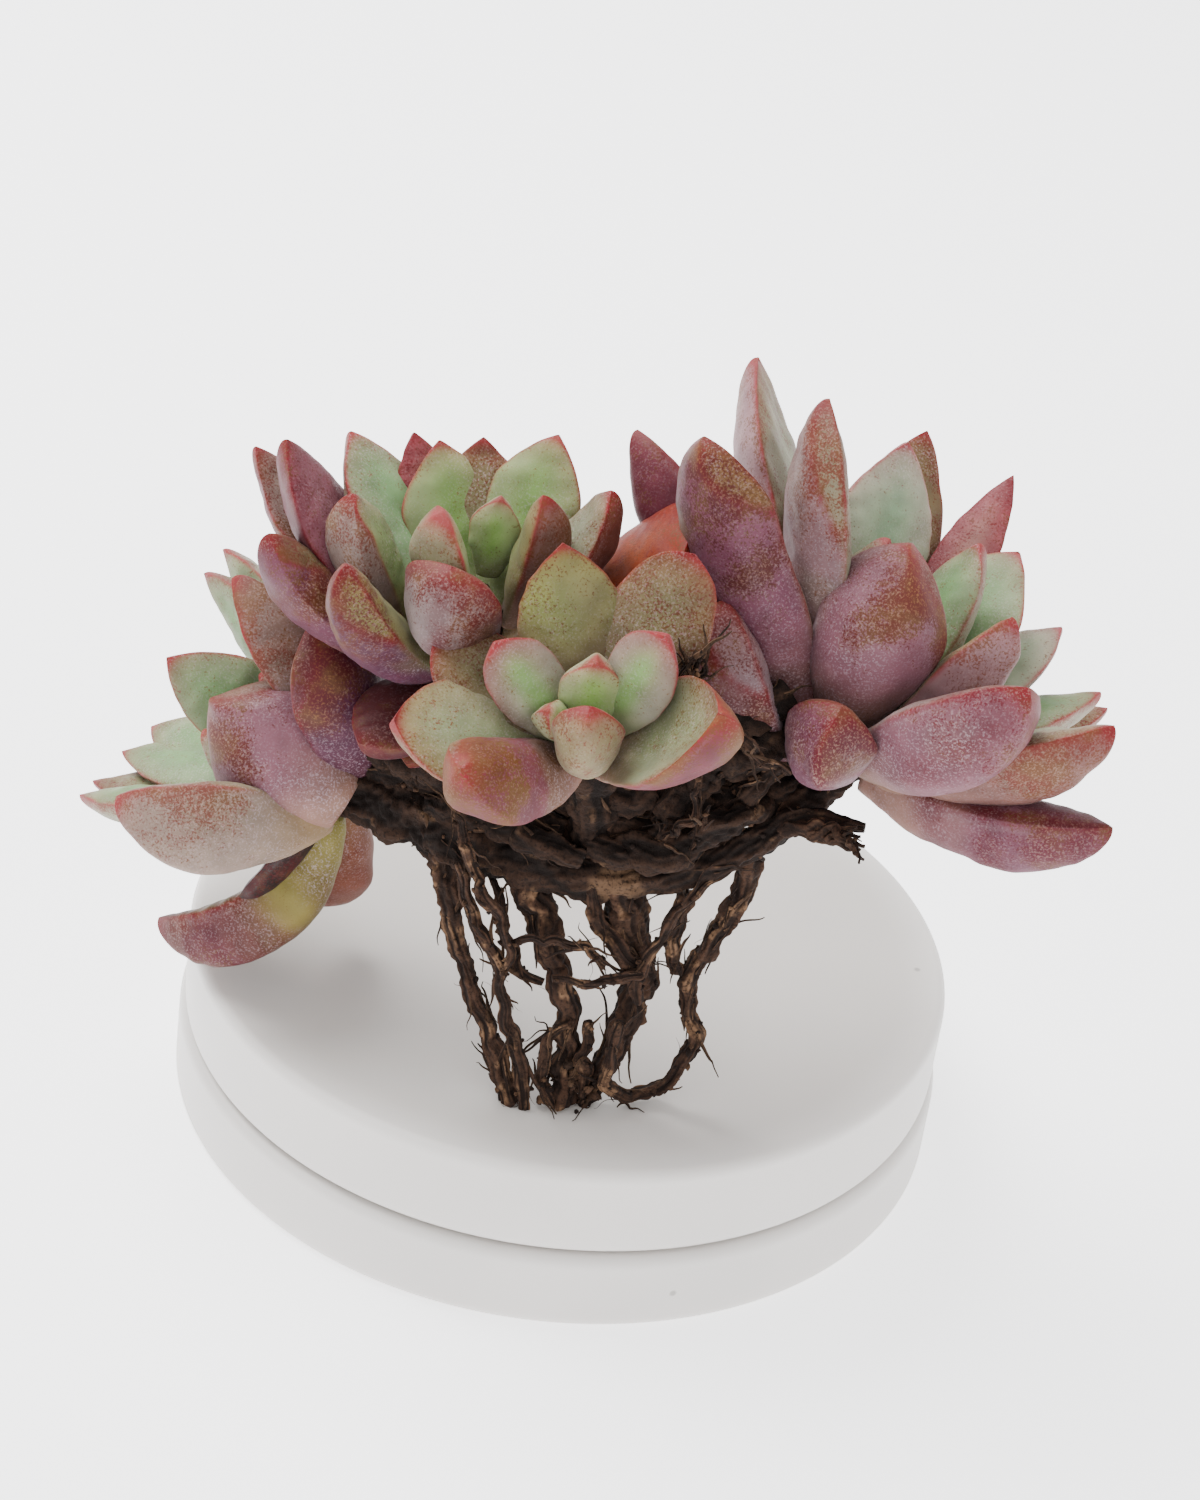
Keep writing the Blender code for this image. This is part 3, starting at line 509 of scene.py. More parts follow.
def leafColours(points, u, wide, deep, toTip, ridge, spec, seed):
    # flesh: colour under the grains; stain: colour of the grains; marks: pigment and powder, 0 to 1
    skin = skins[spec["skin"]]
    tint = {key: np.array(toLinear(value)) for key, value in skin.items() if isinstance(value, str)}
    plain = np.zeros(points.shape[:2] + (4,))
    broad = ripple(points, seed + 2, 7.0)
    small = ripple(points, seed + 3, 2.4)
    steps = np.linalg.norm(np.roll(points, -1, axis=1) - points, axis=-1)
    walked = np.cumsum(steps, axis=1) - steps                        # distance round the ring, from +wide
    total, half = steps.sum(axis=1, keepdims=True), steps.shape[1] // 2
    toMargin = np.minimum(np.minimum(walked, total - walked), np.abs(walked - walked[:, half:half + 1]))
    face = smoothStep(-0.06, 0.06, deep + 0 * u)
    if spec["crest"]:
        _, way, start = spec["crest"]
        beyond = smoothStep(-0.03, 0.03, (wide - ridge) * way) * (1 - face)
        onBack = np.abs(wide - ridge) * total / 4 + 9 * (u < start)
        toMargin = np.where(face < 0.5, np.minimum(toMargin, onBack), toMargin)
        face = np.maximum(face, beyond)
    if spec["roll"]:
        place, way, start = spec["roll"]
        edge = place + (way - place) * smoothStep(start, 1.0, u)
        onFace = np.abs(wide - edge) * total / 4
        toMargin = np.where(deep > 0, onFace, np.where(wide * way > 0, toMargin + 2.0, toMargin))
        face = face * smoothStep(0.03, -0.03, (wide - edge) * way)
    outer = smoothStep(0.35, 0.95, u + 0.10 * broad)
    middle = np.exp(-(wide / 0.45) ** 2) * smoothStep(0.1, 0.4, u) * (1 - smoothStep(0.7, 0.98, u))
    faceFlesh = blend(blend(plain + tint["face"], tint["tipFace"], outer * 0.8), tint["stripe"], middle)
    backFlesh = blend(plain + tint["back"], tint["face"], 0.3 * smoothStep(0.0, 1.0, broad))
    flesh = faceFlesh * face[..., None] + backFlesh * (1 - face)[..., None]
    atFoot = 1 - smoothStep(0.05, 1.0, u / spec["footReach"] + 0.12 * broad)
    flesh = blend(flesh, tint["foot"], 0.9 * atFoot)
    flesh = flesh * skin["shade"] * (1 + 0.05 * small)[..., None]

    gather = smoothStep(0.30, 0.80, u + 0.14 * broad + 0.06 * small)
    backGrain = skin["grain"] * gather * (0.75 + 0.25 * broad) * (1 + spec["lean"] * wide * 1.2)
    wash = np.clip(backGrain * (1 - face), 0, 1) * smoothStep(-0.6, 0.9, broad + 0.4 * small)
    flesh = blend(flesh, tint["stain"], leafMarks["wash"] * wash)
    rising = smoothStep(0.12, 0.6, u + 0 * wide)
    reach = np.clip(spec["width"] / 8, 0.45, 1.1)                     # small leaves have finer rims
    line = np.exp(-(toMargin / (leafMarks["rim"] * reach)) ** 2) * rising * (0.7 + 0.3 * small)
    blush = np.exp(-(toMargin / (leafMarks["blush"] * reach)) ** 2) * rising
    blush = blush * smoothStep(0.3, 0.9, u) * (1 - 0.6 * face)
    fromPoint = toTip / (leafMarks["point"] * reach) + 0 * wide
    point = np.exp(-fromPoint ** 2) + 0.3 * np.exp(-(fromPoint / 2.75) ** 2)
    # a pale band inside the back's rim: partly the leaf's own pale margin, partly painted sheen of glancing
    # light along the edge
    paleEdgeAndSheenPlace, paleEdgeAndSheenWidth = leafMarks["paleEdgeAndSheen"]
    paleEdgeAndSheen = np.exp(-((toMargin - paleEdgeAndSheenPlace) / paleEdgeAndSheenWidth) ** 2) * rising * (1 - face)
    flesh = blend(flesh, toLinear(leafMarks["paleEdgeAndSheenColour"]), 0.14 * paleEdgeAndSheen)
    flesh = blend(flesh, tint["rim"], np.clip(0.8 * line + 0.2 * blush + 0.75 * point, 0, 0.92))
    stain = blend(plain + tint["stain"], tint["rim"], np.clip(0.3 * blush + 0.5 * point, 0, 1))

    grain = backGrain * (1 - face) + skin["faceGrain"] * gather * face + 0.3 * blush
    middleOf, amount = spec["streak"]
    band = np.exp(-((wide - middleOf) / leafMarks["streak"]) ** 2) * amount * (1 - face)
    band = band * smoothStep(0.25, 0.5, u) * (1 - smoothStep(0.85, 1.0, u))
    flesh = blend(flesh, toLinear(leafMarks["streakColour"]), 0.75 * band * (0.8 + 0.2 * small))
    grain = grain * (1 - 0.6 * band)
    bloom = skin["bloom"] * (0.65 + 0.35 * broad)
    marks = np.stack([np.clip(grain, 0, 1), np.clip(bloom, 0, 1), 0 * grain, 0 * grain + 1], axis=-1)
    return {"flesh": np.clip(flesh, 0, 1)[None], "stain": np.clip(stain, 0, 1)[None], "marks": marks[None]}


nameForms = {"leaf": "leaf_{}_{:02d}", "heart": "heart_{}_{}", "small": "small_{}_{}", "dead": "dead_{}_{}"}
leafMaterial = makeLeafSkin()
seed = 100
for rosetteName, rosette in rosettes.items():
    for kind, form in nameForms.items():
        for number, spec in enumerate(rosette.get(kind, []), 1):
            seed += 10
            name = form.format(rosetteName, number)
            surface = leafSurface(rosette, spec, seed)
            made = wrappedMesh(name + "_skin", surface[0][None], leafColours(*surface, spec, seed))
            finishPiece(made, leafMaterial, [name] if name in cadNodes else [])
    print("rosette", rosetteName)


# Wood and roots: the dead outer bark of a dry succulent stem and its fibrous roots, with soil
# still on them. It is matt and deeply rough, with torn strands and tan wood where the bark has
# come off; the clefts between the strands are painted almost black as shade.
barkLook = {
    # painted shade in the clefts between strands, and the colour of soil crumbs
    "dark": "#1E120C",
    "brown": "#4A3326",
    "tan": "#86664C",
    "crumbSize": 0.35,      # mm, grains of dry soil
    "soilShare": 0.8,       # how much of the bark a crumb hides
    "patchSize": 2.6,       # mm, where old bark is left
    "relief": 0.3,          # mm
}


def makeBark(name, depth, tanFrom):
    # depth darkens it all, and tanFrom is the noise above which the bark is worn off
    look = barkLook
    material, tree, shader = newMaterial(name, {"Roughness": 0.9, "IOR": 1.4, "Specular IOR Level": 0.3})
    place = addNode(tree, "TexCoord").outputs["Object"]
    marks = addNode(tree, "Attribute", {"attribute_name": "marks"})
    amounts = addNode(tree, "SeparateColor", links={0: marks}).outputs
    crumbs = addNode(tree, "TexNoise", {"Scale": 1 / (look["crumbSize"] * mm), "Detail": 3.0,
                                        "Roughness": 0.65}, {"Vector": place})
    patches = addNode(tree, "TexNoise", {"Scale": 1 / (look["patchSize"] * mm), "Detail": 3.0},
                      {"Vector": place})
    # painted shade: dark in the clefts, where the strand field is low, brown on the raised strands
    strand = addNode(tree, "MapRange", smooth | {"From Min": 0.25, "From Max": 0.85}, {"Value": amounts[0]})
    bark = addNode(tree, "Mix", colourMix | {6: toLinear(look["dark"]), 7: toLinear(look["brown"])},
                   {0: strand})
    worn = addNode(tree, "MapRange", smooth | {"From Min": tanFrom, "From Max": tanFrom + 0.14},
                   {"Value": patches})
    wornStrand = addNode(tree, "Math", {"operation": "MULTIPLY"}, {0: worn, 1: strand})
    bare = addNode(tree, "Math", {"operation": "MAXIMUM"}, {0: wornStrand, 1: amounts[1]})
    wood = addNode(tree, "Mix", colourMix | {7: toLinear(look["tan"])}, {0: bare, 6: bark.outputs[2]})
    soil = addNode(tree, "MapRange", smooth | {"From Min": 0.5, "From Max": 0.66,
                                               "To Max": look["soilShare"]}, {"Value": crumbs})
    soiled = addNode(tree, "Mix", colourMix | {7: toLinear(look["dark"])}, {0: soil, 6: wood.outputs[2]})
    shaded = addNode(tree, "VectorMath", {"operation": "SCALE", "Scale": depth}, {0: soiled.outputs[2]})
    tree.links.new(shaded.outputs[0], shader.inputs["Base Color"])
    relief = addNode(tree, "Math", {"operation": "MULTIPLY_ADD", 1: 0.8}, {0: crumbs, 2: amounts[0]})
    bump = addNode(tree, "Bump", {"Strength": 0.9, "Distance": look["relief"] * mm}, {"Height": relief})
    tree.links.new(bump.outputs[0], shader.inputs["Normal"])
    return material


def smoothLine(points, count):
    # a Catmull-Rom curve through the points, read at even steps
    points = np.array(points, float)
    ends = np.vstack([2 * points[0] - points[1], points, 2 * points[-1] - points[-2]])
    t = np.linspace(0, len(points) - 1, count)
    i = np.minimum(t.astype(int), len(points) - 2)
    s = (t - i)[:, None]
    a, b, c, d = ends[i], ends[i + 1], ends[i + 2], ends[i + 3]
    squared, cubed = (2 * a - 5 * b + 4 * c - d) * s ** 2, (3 * b - a - 3 * c + d) * s ** 3
    return 0.5 * (2 * b + (c - a) * s + squared + cubed)


def tubeFrames(lines):
    # for lines[tube, row]: directions along each line, and two square to it that keep their
    # turn, from a reference that the line never runs along
    tangents = unitRows(np.gradient(lines, axis=1))
    chord = unitRows(lines[:, -1] - lines[:, 0])
    reference = np.where(np.abs(chord[:, 1:2]) < 0.75, [[0.0, 1.0, 0.0]], [[1.0, 0.0, 0.0]])[:, None]
    sides = unitRows(reference - tangents * (tangents * reference).sum(axis=-1, keepdims=True))
    return tangents, sides, np.cross(tangents, sides)


def strandMesh(name, lines, radii, sides, seed, rough, bareAt=None, light=None):
    # tubes with their radius broken into long strands: sines of 3, 5, 8 and 13 waves round that
    # wind slowly along the tube, and crumbs from uneven fields
    draw = np.random.default_rng(seed)
    _, side, lift = tubeFrames(lines)
    steps = np.linalg.norm(np.diff(lines, axis=1), axis=-1)
    length = np.concatenate([np.zeros((len(lines), 1)), np.cumsum(steps, axis=1)], axis=1)[..., None]
    angle = np.linspace(0, 2 * math.pi, sides, endpoint=False)
    strands = np.zeros(lines.shape[:2] + (sides,))
    for count in (3, 5, 8, 13):
        turn, phase, wave = draw.uniform(-0.12, 0.12), draw.uniform(0, 2 * math.pi), draw.uniform(1.5, 4)
        wound = count * (angle + turn * length) + phase + 1.4 * np.sin(length / wave + phase)
        strands = strands + np.sin(wound) / count ** 0.3
    strands = strands / np.abs(strands).max()
    spoke = np.cos(angle)[:, None] * side[:, :, None] + np.sin(angle)[:, None] * lift[:, :, None]
    points = lines[:, :, None] + spoke * radii[..., None, None]
    crumbs = ripple(points, seed + 1, 0.9, 14) * 0.5 + ripple(points, seed + 2, 3.2) * 0.9
    reach = radii[..., None] * (1 + rough * (0.9 * strands + crumbs))
    points = lines[:, :, None] + spoke * reach[..., None]
    bare = 0 * strands
    if bareAt is not None:
        gap = np.linalg.norm(points - (np.array(bareAt) + [0, 0, seatHeight]), axis=-1)
        bare = 0.9 * (1 - smoothStep(1.6, 3.4, gap + 0.7 * crumbs))
    if light is not None:
        bare = np.maximum(bare, light[:, None, None] * (0.7 + 0.3 * strands))
    # the first mark follows the field that carves the strands, so the bark paints shade into the clefts
    marks = np.stack([np.clip(0.5 + 0.5 * strands + 0.12 * crumbs, 0, 1), np.clip(bare, 0, 1), 0 * bare,
                      0 * bare + 1], axis=-1)
    return wrappedMesh(name, points, {"marks": marks})


def crownLine(rosette):
    # the stem's points and radii, going on up the rosette's axis to the feet of its heart
    axis, _, _ = rosetteAxes(rosette)
    foot = np.array(rosette["foot"], float)
    height = max(spec["rise"] for spec in rosette["heart"])
    points = [np.array(p, float) for p in rosette["stem"]]
    points += [foot + axis * share * height for share in (0.0, 0.4, 0.7)] + [foot + axis * height]
    seat = rosette["crown"] * 0.85
    return points, rosette["stemRadii"] + [seat, seat, seat * 0.8, seat * 0.3]


woodyStem = {
    "points": [(-14.5, -20.5, 24.5), (-10, -21.5, 23.9), (-4, -22.8, 23.4), (3, -24, 23.6), (8, -23.7, 24.5),
               (12, -22.8, 26), (16, -21.2, 28.2), (20, -20.6, 31), (26, -22, 32)],
    "radii": [2.6, 2.9, 2.5, 1.9, 1.7, 1.7, 1.5, 1.2, 0.5],
    "bareAt": (4, -26, 24.2),
}
roots = {       # points and radii
    "root_left": ([(-12.8, -21.3, 22), (-12, -23, 18.5), (-9.8, -25, 12.5), (-7, -27, 7),
                   (-4.6, -28.8, 2.4), (-3.6, -29.6, 0)],
                  [1.7, 1.2, 0.8, 0.8, 1.0, 0.8]),
    "root_left_fine": ([(-11.5, -25.3, 24), (-9.4, -26.2, 19), (-7, -27.2, 15), (-5.6, -28, 10.5),
                        (-3.2, -29.4, 4), (-2.2, -30.4, 0)],
                       [0.6, 0.6, 0.65, 0.65, 0.8, 0.6]),
    "root_middle": ([(-4.5, -23, 23.6), (-4.5, -23.5, 21.5), (-2, -24.8, 16.5), (0.2, -26.2, 11),
                     (1.2, -27.6, 5.5), (1.2, -29, 0)],
                    [1.6, 1.7, 1.4, 1.1, 1.1, 1.3]),
    "root_right": ([(4.2, -23.4, 24), (4.5, -23.8, 21.5), (6.4, -24, 16), (7.2, -24.4, 11.5),
                    (6, -26, 7), (4.4, -27.6, 2.6), (3.6, -28.2, 0)],
                   [1.5, 1.8, 1.7, 1.5, 1.3, 1.1, 0.9]),
    "root_loop": ([(16, -21, 26.5), (15.4, -21.8, 21.5), (12.9, -22.6, 16), (11.9, -23.4, 12),
                   (13.1, -24.8, 7), (11.6, -25.8, 3), (8.4, -27, 0.9), (5.8, -28.8, 2.6),
                   (5.2, -29.2, 6.5), (5.9, -28.8, 10.6)],
                  [1.2, 1.1, 0.95, 0.85, 0.75, 0.7, 0.65, 0.65, 0.65, 0.5]),
    "root_inner": ([(10.4, -22.8, 22.5), (9.9, -23.2, 17.5), (10.6, -23.8, 13.5)],
                   [0.9, 0.8, 0.7]),
}
# Side roots and old wood with no CAD node of their own: points and one radius
sideRoots = [
    ([(-12.6, -25.5, 31), (-11.9, -26, 28.7), (-9.9, -26.5, 24.4), (-7.3, -27, 20.2), (-5.6, -27.5, 17.5),
      (-5.9, -28, 13.8)], 0.55),
    ([(-6.6, -27, 16.5), (-1.1, -27.5, 18.2), (1.9, -27.5, 17.7), (3.6, -27.5, 16.1)], 0.5),
    ([(-1.2, -28.2, 14.2), (3.5, -28.3, 14.7), (6.9, -27.5, 16.3), (8.4, -26.5, 19.6), (9.8, -25.5, 22.8),
      (12.6, -24, 25.1)], 0.55),
    ([(1, -25, 23.8), (3.4, -26, 18.4), (6.1, -26.5, 16.3), (7.2, -27, 12)], 0.9),
    ([(-8, -23, 21), (-6.4, -24, 17), (-5, -25.5, 14), (-2, -26, 12)], 0.6),
    ([(1.2, -27.4, 9), (-0.6, -28.8, 7), (-1, -29.6, 4), (0.4, -30.2, 0.8)], 0.6),
    ([(3, -27.5, 9), (2.6, -28.6, 5), (3.2, -29.6, 2)], 0.7),
    ([(4, -22, 40), (6.2, -25, 46), (7.4, -26.5, 51.5), (7.2, -27, 49.4), (8, -27.4, 47.5)], 0.26),
    ([(5, -22, 40), (7, -25, 45), (9, -26, 50.5), (7.8, -26.8, 49.2), (6.9, -27.4, 46.8)], 0.22),
    ([(8, -22.5, 42), (12.4, -25, 41.5), (15, -24.6, 39.6), (18, -22.5, 37.2)], 0.6),
    ([(6, -23.5, 27), (8, -24.8, 30), (9.4, -25.6, 34), (9.8, -25, 38)], 0.4),
    ([(9, -23.5, 27), (10.6, -24.8, 30.5), (11.2, -25.2, 34)], 0.35),
]
oldWood = [
    ([(-21, -16, 27), (-14, -19, 29), (-8, -21, 28.5), (-2, -22.5, 27)], 1.9),
    ([(-17, -19, 26), (-12, -22, 27.5), (-6, -24, 27.5), (0, -25, 26)], 1.5),
    ([(-12, -19, 33), (-5, -21, 32), (3, -21.5, 32), (10, -20, 34)], 2.2),
    ([(0, -24, 27), (6, -24.5, 27.5), (11, -23.5, 29.5), (16, -21, 32)], 1.7),
    ([(-10, -18, 36), (-8, -21, 31), (-5, -23, 26)], 1.7),
    ([(8, -20, 37), (8, -22, 31), (6, -24, 26)], 1.6),
    ([(14, -16, 38), (13, -19, 33), (10, -22, 28)], 1.8),
    ([(3, -21, 33), (9, -21, 31), (15, -19, 31), (20, -16, 34)], 1.8),
    ([(-6, -22, 37), (0, -21, 35), (6, -20, 37)], 2.0),
    ([(-21, -16.5, 30), (-14, -20, 31.5), (-8, -21.5, 33)], 2.3),
    ([(9, -21.5, 34), (13, -20, 37), (19, -17, 39)], 2.5),
    ([(5, -22, 37), (11, -20.5, 40), (17, -18, 43)], 2.3),
    ([(-4, -21, 30.5), (1, -21.5, 29), (6, -21, 28.5), (13, -20.5, 32), (17, -20, 36.5)], 1.7),
    ([(-6, -20, 26), (0, -20.5, 27.5), (6, -20, 29), (12, -19, 31)], 1.8),
]


def wandering(points, rows, seed, amount, size):
    # the smooth line, pushed about by uneven fields except at its ends
    line = smoothLine(np.array(points, float) + [0, 0, seatHeight], rows)
    push = np.stack([ripple(line, seed + i, size) for i in range(3)], axis=-1)
    return line + amount * push * np.sin(np.linspace(0, math.pi, rows))[:, None] ** 0.5


# Each kind of strand: rows along, sides round, roughness as a share of its radius, how far it
# wanders and over what length, both in mm, and how thickly fibres and soil sit on it
strandKinds = {
    "stem": {"rows": 170, "sides": 72, "rough": 0.11, "wander": (0.2, 4.0), "cover": 1.0},
    "root": {"rows": 200, "sides": 44, "rough": 0.17, "wander": (0.3, 3.0), "cover": 1.6},
    "extra": {"rows": 110, "sides": 32, "rough": 0.16, "wander": (0.4, 3.0), "cover": 1.4},
    "frayed": {"rows": 40, "sides": 12, "rough": 0.2, "wander": (0.35, 2.0)},
}
barkMaterial = makeBark("deadStemBark", 0.42, 0.60)
rootMaterial = makeBark("dryFibrousRoot", 0.74, 0.53)
woodLines = []          # (points, radii, cover) that flakes, hairs and crumbs grow from
stemParts = {"woody_stem": (woodyStem["points"], woodyStem["radii"])}
stemParts.update({"stem_" + key: crownLine(rosette) for key, rosette in rosettes.items()})
for parts, kind, ending, seeds, material, slotName in (
        (stemParts, strandKinds["stem"], "_bark", (900, 950), barkMaterial, "bark"),
        (roots, strandKinds["root"], "_strand", (1100, 1200), rootMaterial, "root_bark")):
    for offset, (name, (points, radii)) in enumerate(parts.items()):
        line = wandering(points, kind["rows"], seeds[0] + offset, *kind["wander"])
        radius = smoothLine([(r, 0, 0) for r in radii], kind["rows"])[:, 0]
        bareAt = woodyStem["bareAt"] if name == "woody_stem" else None
        made = strandMesh(name + ending, line[None], radius[None], kind["sides"], seeds[1] + 20 * offset,
                          kind["rough"], bareAt)
        finishPiece(made, material, [name])
        woodLines.append((line, radius, kind["cover"]))
kind = strandKinds["extra"]
thinEnds = 0.55 + 0.45 * np.sin(np.linspace(0.15, math.pi - 0.15, kind["rows"]))
for group, parts, material, slotName in (("side_roots", sideRoots, rootMaterial, "root_bark"),
                                         ("old_wood", oldWood, barkMaterial, "bark")):
    lines = np.array([wandering(points, kind["rows"], 1500 + 7 * i, *kind["wander"])
                      for i, (points, _) in enumerate(parts)])
    radii = np.array([radius * thinEnds for _, radius in parts])
    finishPiece(strandMesh(group, lines, radii, kind["sides"], 1700, kind["rough"]), material)
    woodLines += [(line, radius, kind["cover"]) for line, radius in zip(lines, radii)]
print("stems and roots")

# Torn bark, root hairs and soil: many small shapes that grow from the wood's surface
flakes = {"count": 560, "length": (1.5, 5.0), "radius": (0.10, 0.26)}      # mm
hairs = {"count": 90, "length": (1.0, 3.5), "radius": (0.03, 0.07)}
crumbs = {"count": 900, "radius": (0.10, 0.32), "heap": (1.4, -29, 2.6), "heapSpread": (1.5, 0.7, 1.3),
          "heapCount": 70, "heapScale": 1.8}


def surfaceStarts(count, seed):
    # random places on the wood: spot, outward direction and direction along
    draw = np.random.default_rng(seed)
    weights = np.array([np.linalg.norm(np.diff(line, axis=0), axis=1).sum() * density
                        for line, _, density in woodLines])
    picks = draw.choice(len(woodLines), count, p=weights / weights.sum())
    spots, outs, alongs = [], [], []
    for pick in picks:
        line, radius, _ = woodLines[pick]
        row = draw.integers(2, len(line) - 3)
        along = unitRows(line[row + 2] - line[row - 2])
        out = draw.normal(size=3)
        out = unitRows(out - along * (out @ along))
        spots.append(line[row] + out * radius[row] * 0.95)
        outs.append(out)
        alongs.append(along * draw.choice([-1, 1]))
    return np.array(spots), np.array(outs), np.array(alongs)


def looseFibres(name, look, sides, seed, lift, droop, light):
    # each fibre runs along the wood, lifts off it by the square of its length and droops
    count, rows = look["count"], 12
    draw = np.random.default_rng(seed)
    spots, outs, alongs = surfaceStarts(count, seed + 1)
    t = np.linspace(0, 1, rows)[None, :, None]
    length = draw.uniform(*look["length"], count)[:, None, None]
    sway = np.cross(outs, alongs)[:, None] * draw.normal(0, 0.35, count)[:, None, None]
    heading = alongs[:, None] + sway
    rise = outs[:, None] * draw.uniform(0.1, 1.0, count)[:, None, None] * lift
    lines = spots[:, None] + heading * length * t + rise * length * t ** 2 - outs[:, None] * 0.1
    lines = lines - np.array([0, 0, 1.0]) * droop * length * t ** 2
    wave = np.stack([ripple(lines, seed + 5 + i, 2.2) for i in range(3)], axis=-1)
    lines = lines + 0.28 * wave * t
    lines[..., 2] = np.maximum(lines[..., 2], seatHeight + 0.15)
    thin = draw.uniform(*look["radius"], count)[:, None] * (1 - 0.75 * t[..., 0] ** 1.5)
    shade = light * draw.uniform(0, 1, count) ** 2
    finishPiece(strandMesh(name, lines, thin, sides, seed + 9, 0.12, light=shade), rootMaterial)


def soilCrumbs(name, look, seed):
    # small lumps: a low sphere grid, each squashed and turned by its own random matrix; most sit
    # on the wood, and a heap of larger ones is held between the root tips
    draw = np.random.default_rng(seed)
    spots, _, _ = surfaceStarts(look["count"], seed + 1)
    middle = np.array(look["heap"]) + [0, 0, seatHeight]
    heap = draw.normal(middle, look["heapSpread"], (look["heapCount"], 3))
    spots = np.concatenate([spots, heap])
    spots[:, 2] = np.maximum(spots[:, 2], seatHeight + 0.25)
    size = draw.uniform(*look["radius"], len(spots))
    size = size * np.where(np.arange(len(spots)) < look["count"], 1, look["heapScale"])
    polar = np.linspace(0.25, math.pi - 0.25, 5)[:, None]
    turn = np.linspace(0, 2 * math.pi, 7, endpoint=False)
    ball = np.stack([np.sin(polar) * np.cos(turn), np.sin(polar) * np.sin(turn), -np.cos(polar) + 0 * turn],
                    axis=-1)
    turns = np.linalg.qr(draw.normal(size=(len(spots), 3, 3)))[0]
    turns = turns * np.sign(np.linalg.det(turns))[:, None, None]
    shape = ball * (1 + 0.22 * draw.normal(size=(len(spots),) + ball.shape[:2]))[..., None]
    shape = shape * draw.uniform(0.6, 1.3, (len(spots), 1, 1, 3))
    points = spots[:, None, None] + np.einsum("nij,nabj->nabi", turns, shape) * size[:, None, None, None]
    tone = draw.uniform(0, 1, len(spots))[:, None, None] + np.zeros(points.shape[:3])
    marks = np.stack([tone, 0.3 * tone ** 4, 0 * tone, 0 * tone + 1], axis=-1)
    finishPiece(wrappedMesh(name, points, {"marks": marks}), rootMaterial)


looseFibres("torn_bark", flakes, 6, 2100, 0.22, 0.05, 0.5)
looseFibres("root_hairs", hairs, 4, 2200, 0.75, 0.25, 0.9)
soilCrumbs("soil_crumbs", crumbs, 2300)

# The torn right-hand end of the stem: strands that leave it together and fan out
frayedEnd = {"count": 11, "radius": 0.62, "thinner": 0.02}       # mm, each strand thinner than the last
kind = strandKinds["frayed"]
lines = np.array([wandering([(18, -20.8, 30), (21.5 + 0.3 * i, -22 - 0.25 * i, 31.5 + 0.2 * (i % 3)),
                             (24.6 + 0.5 * (i % 4), -23.2 - 0.45 * i, 32 + 0.35 * ((i * 5) % 7 - 2))],
                            kind["rows"], 2400 + i, *kind["wander"]) for i in range(frayedEnd["count"])])
radii = frayedEnd["radius"] - frayedEnd["thinner"] * np.arange(frayedEnd["count"])
radii = radii[:, None] * (1 - 0.7 * np.linspace(0, 1, kind["rows"]) ** 2)
made = strandMesh("frayed_end", lines, radii, kind["sides"], 2450, kind["rough"])
finishPiece(made, rootMaterial)
print("fibres and soil")


# Stand: two turned discs of frosted polypropylene. Its fine moulded matt skin scatters light, so the
# faces are milky; the middle of each face is painted darker as shade and the rim lighter as painted light.
standLook = {
    "edgeRound": 1.2,       # mm
    "sides": 256,
    # painted shade and light: the middle's colour is darker, the rim's is lighter
    "shadedMilk": "#C0BBB6",
    "rim": "#CFCBC7",
    "litRimFrom": 34.0,        # mm from the middle, where the rim's painted light begins
    "litRimFull": 39.8,
    "cloudSize": 24.0,      # mm, uneven milkiness
    "gritSize": 0.4,        # mm, the moulded matt skin
    "speck": "#6F6A66",
    "speckSpacing": 9.0,    # mm, stray dust
    "scatter": 4.0,         # mm
}


def turnedDisc(name, box):
    # a disc turned about Z: flat faces joined by quarter-round rims, read off its CAD box
    radius = (box[1][0] - box[0][0]) / 2 / mm
    low, high = box[0][2] / mm, box[1][2] / mm
    turn = standLook["edgeRound"]
    corner = np.linspace(0, math.pi / 2, 10)
    flat = np.linspace(0.02, 1, 14)[:-1] * (radius - turn)
    across = np.concatenate([flat, radius - turn + turn * np.sin(corner),
                             radius - turn + turn * np.cos(corner), flat[::-1]])
    up = np.concatenate([0 * flat + low, low + turn - turn * np.cos(corner),
                         high - turn + turn * np.sin(corner), 0 * flat + high])
    angle = np.linspace(0, 2 * math.pi, standLook["sides"], endpoint=False)
    points = np.stack([across[:, None] * np.cos(angle), across[:, None] * np.sin(angle),
                       up[:, None] + 0 * angle], axis=-1)
    return wrappedMesh(name, points[None])


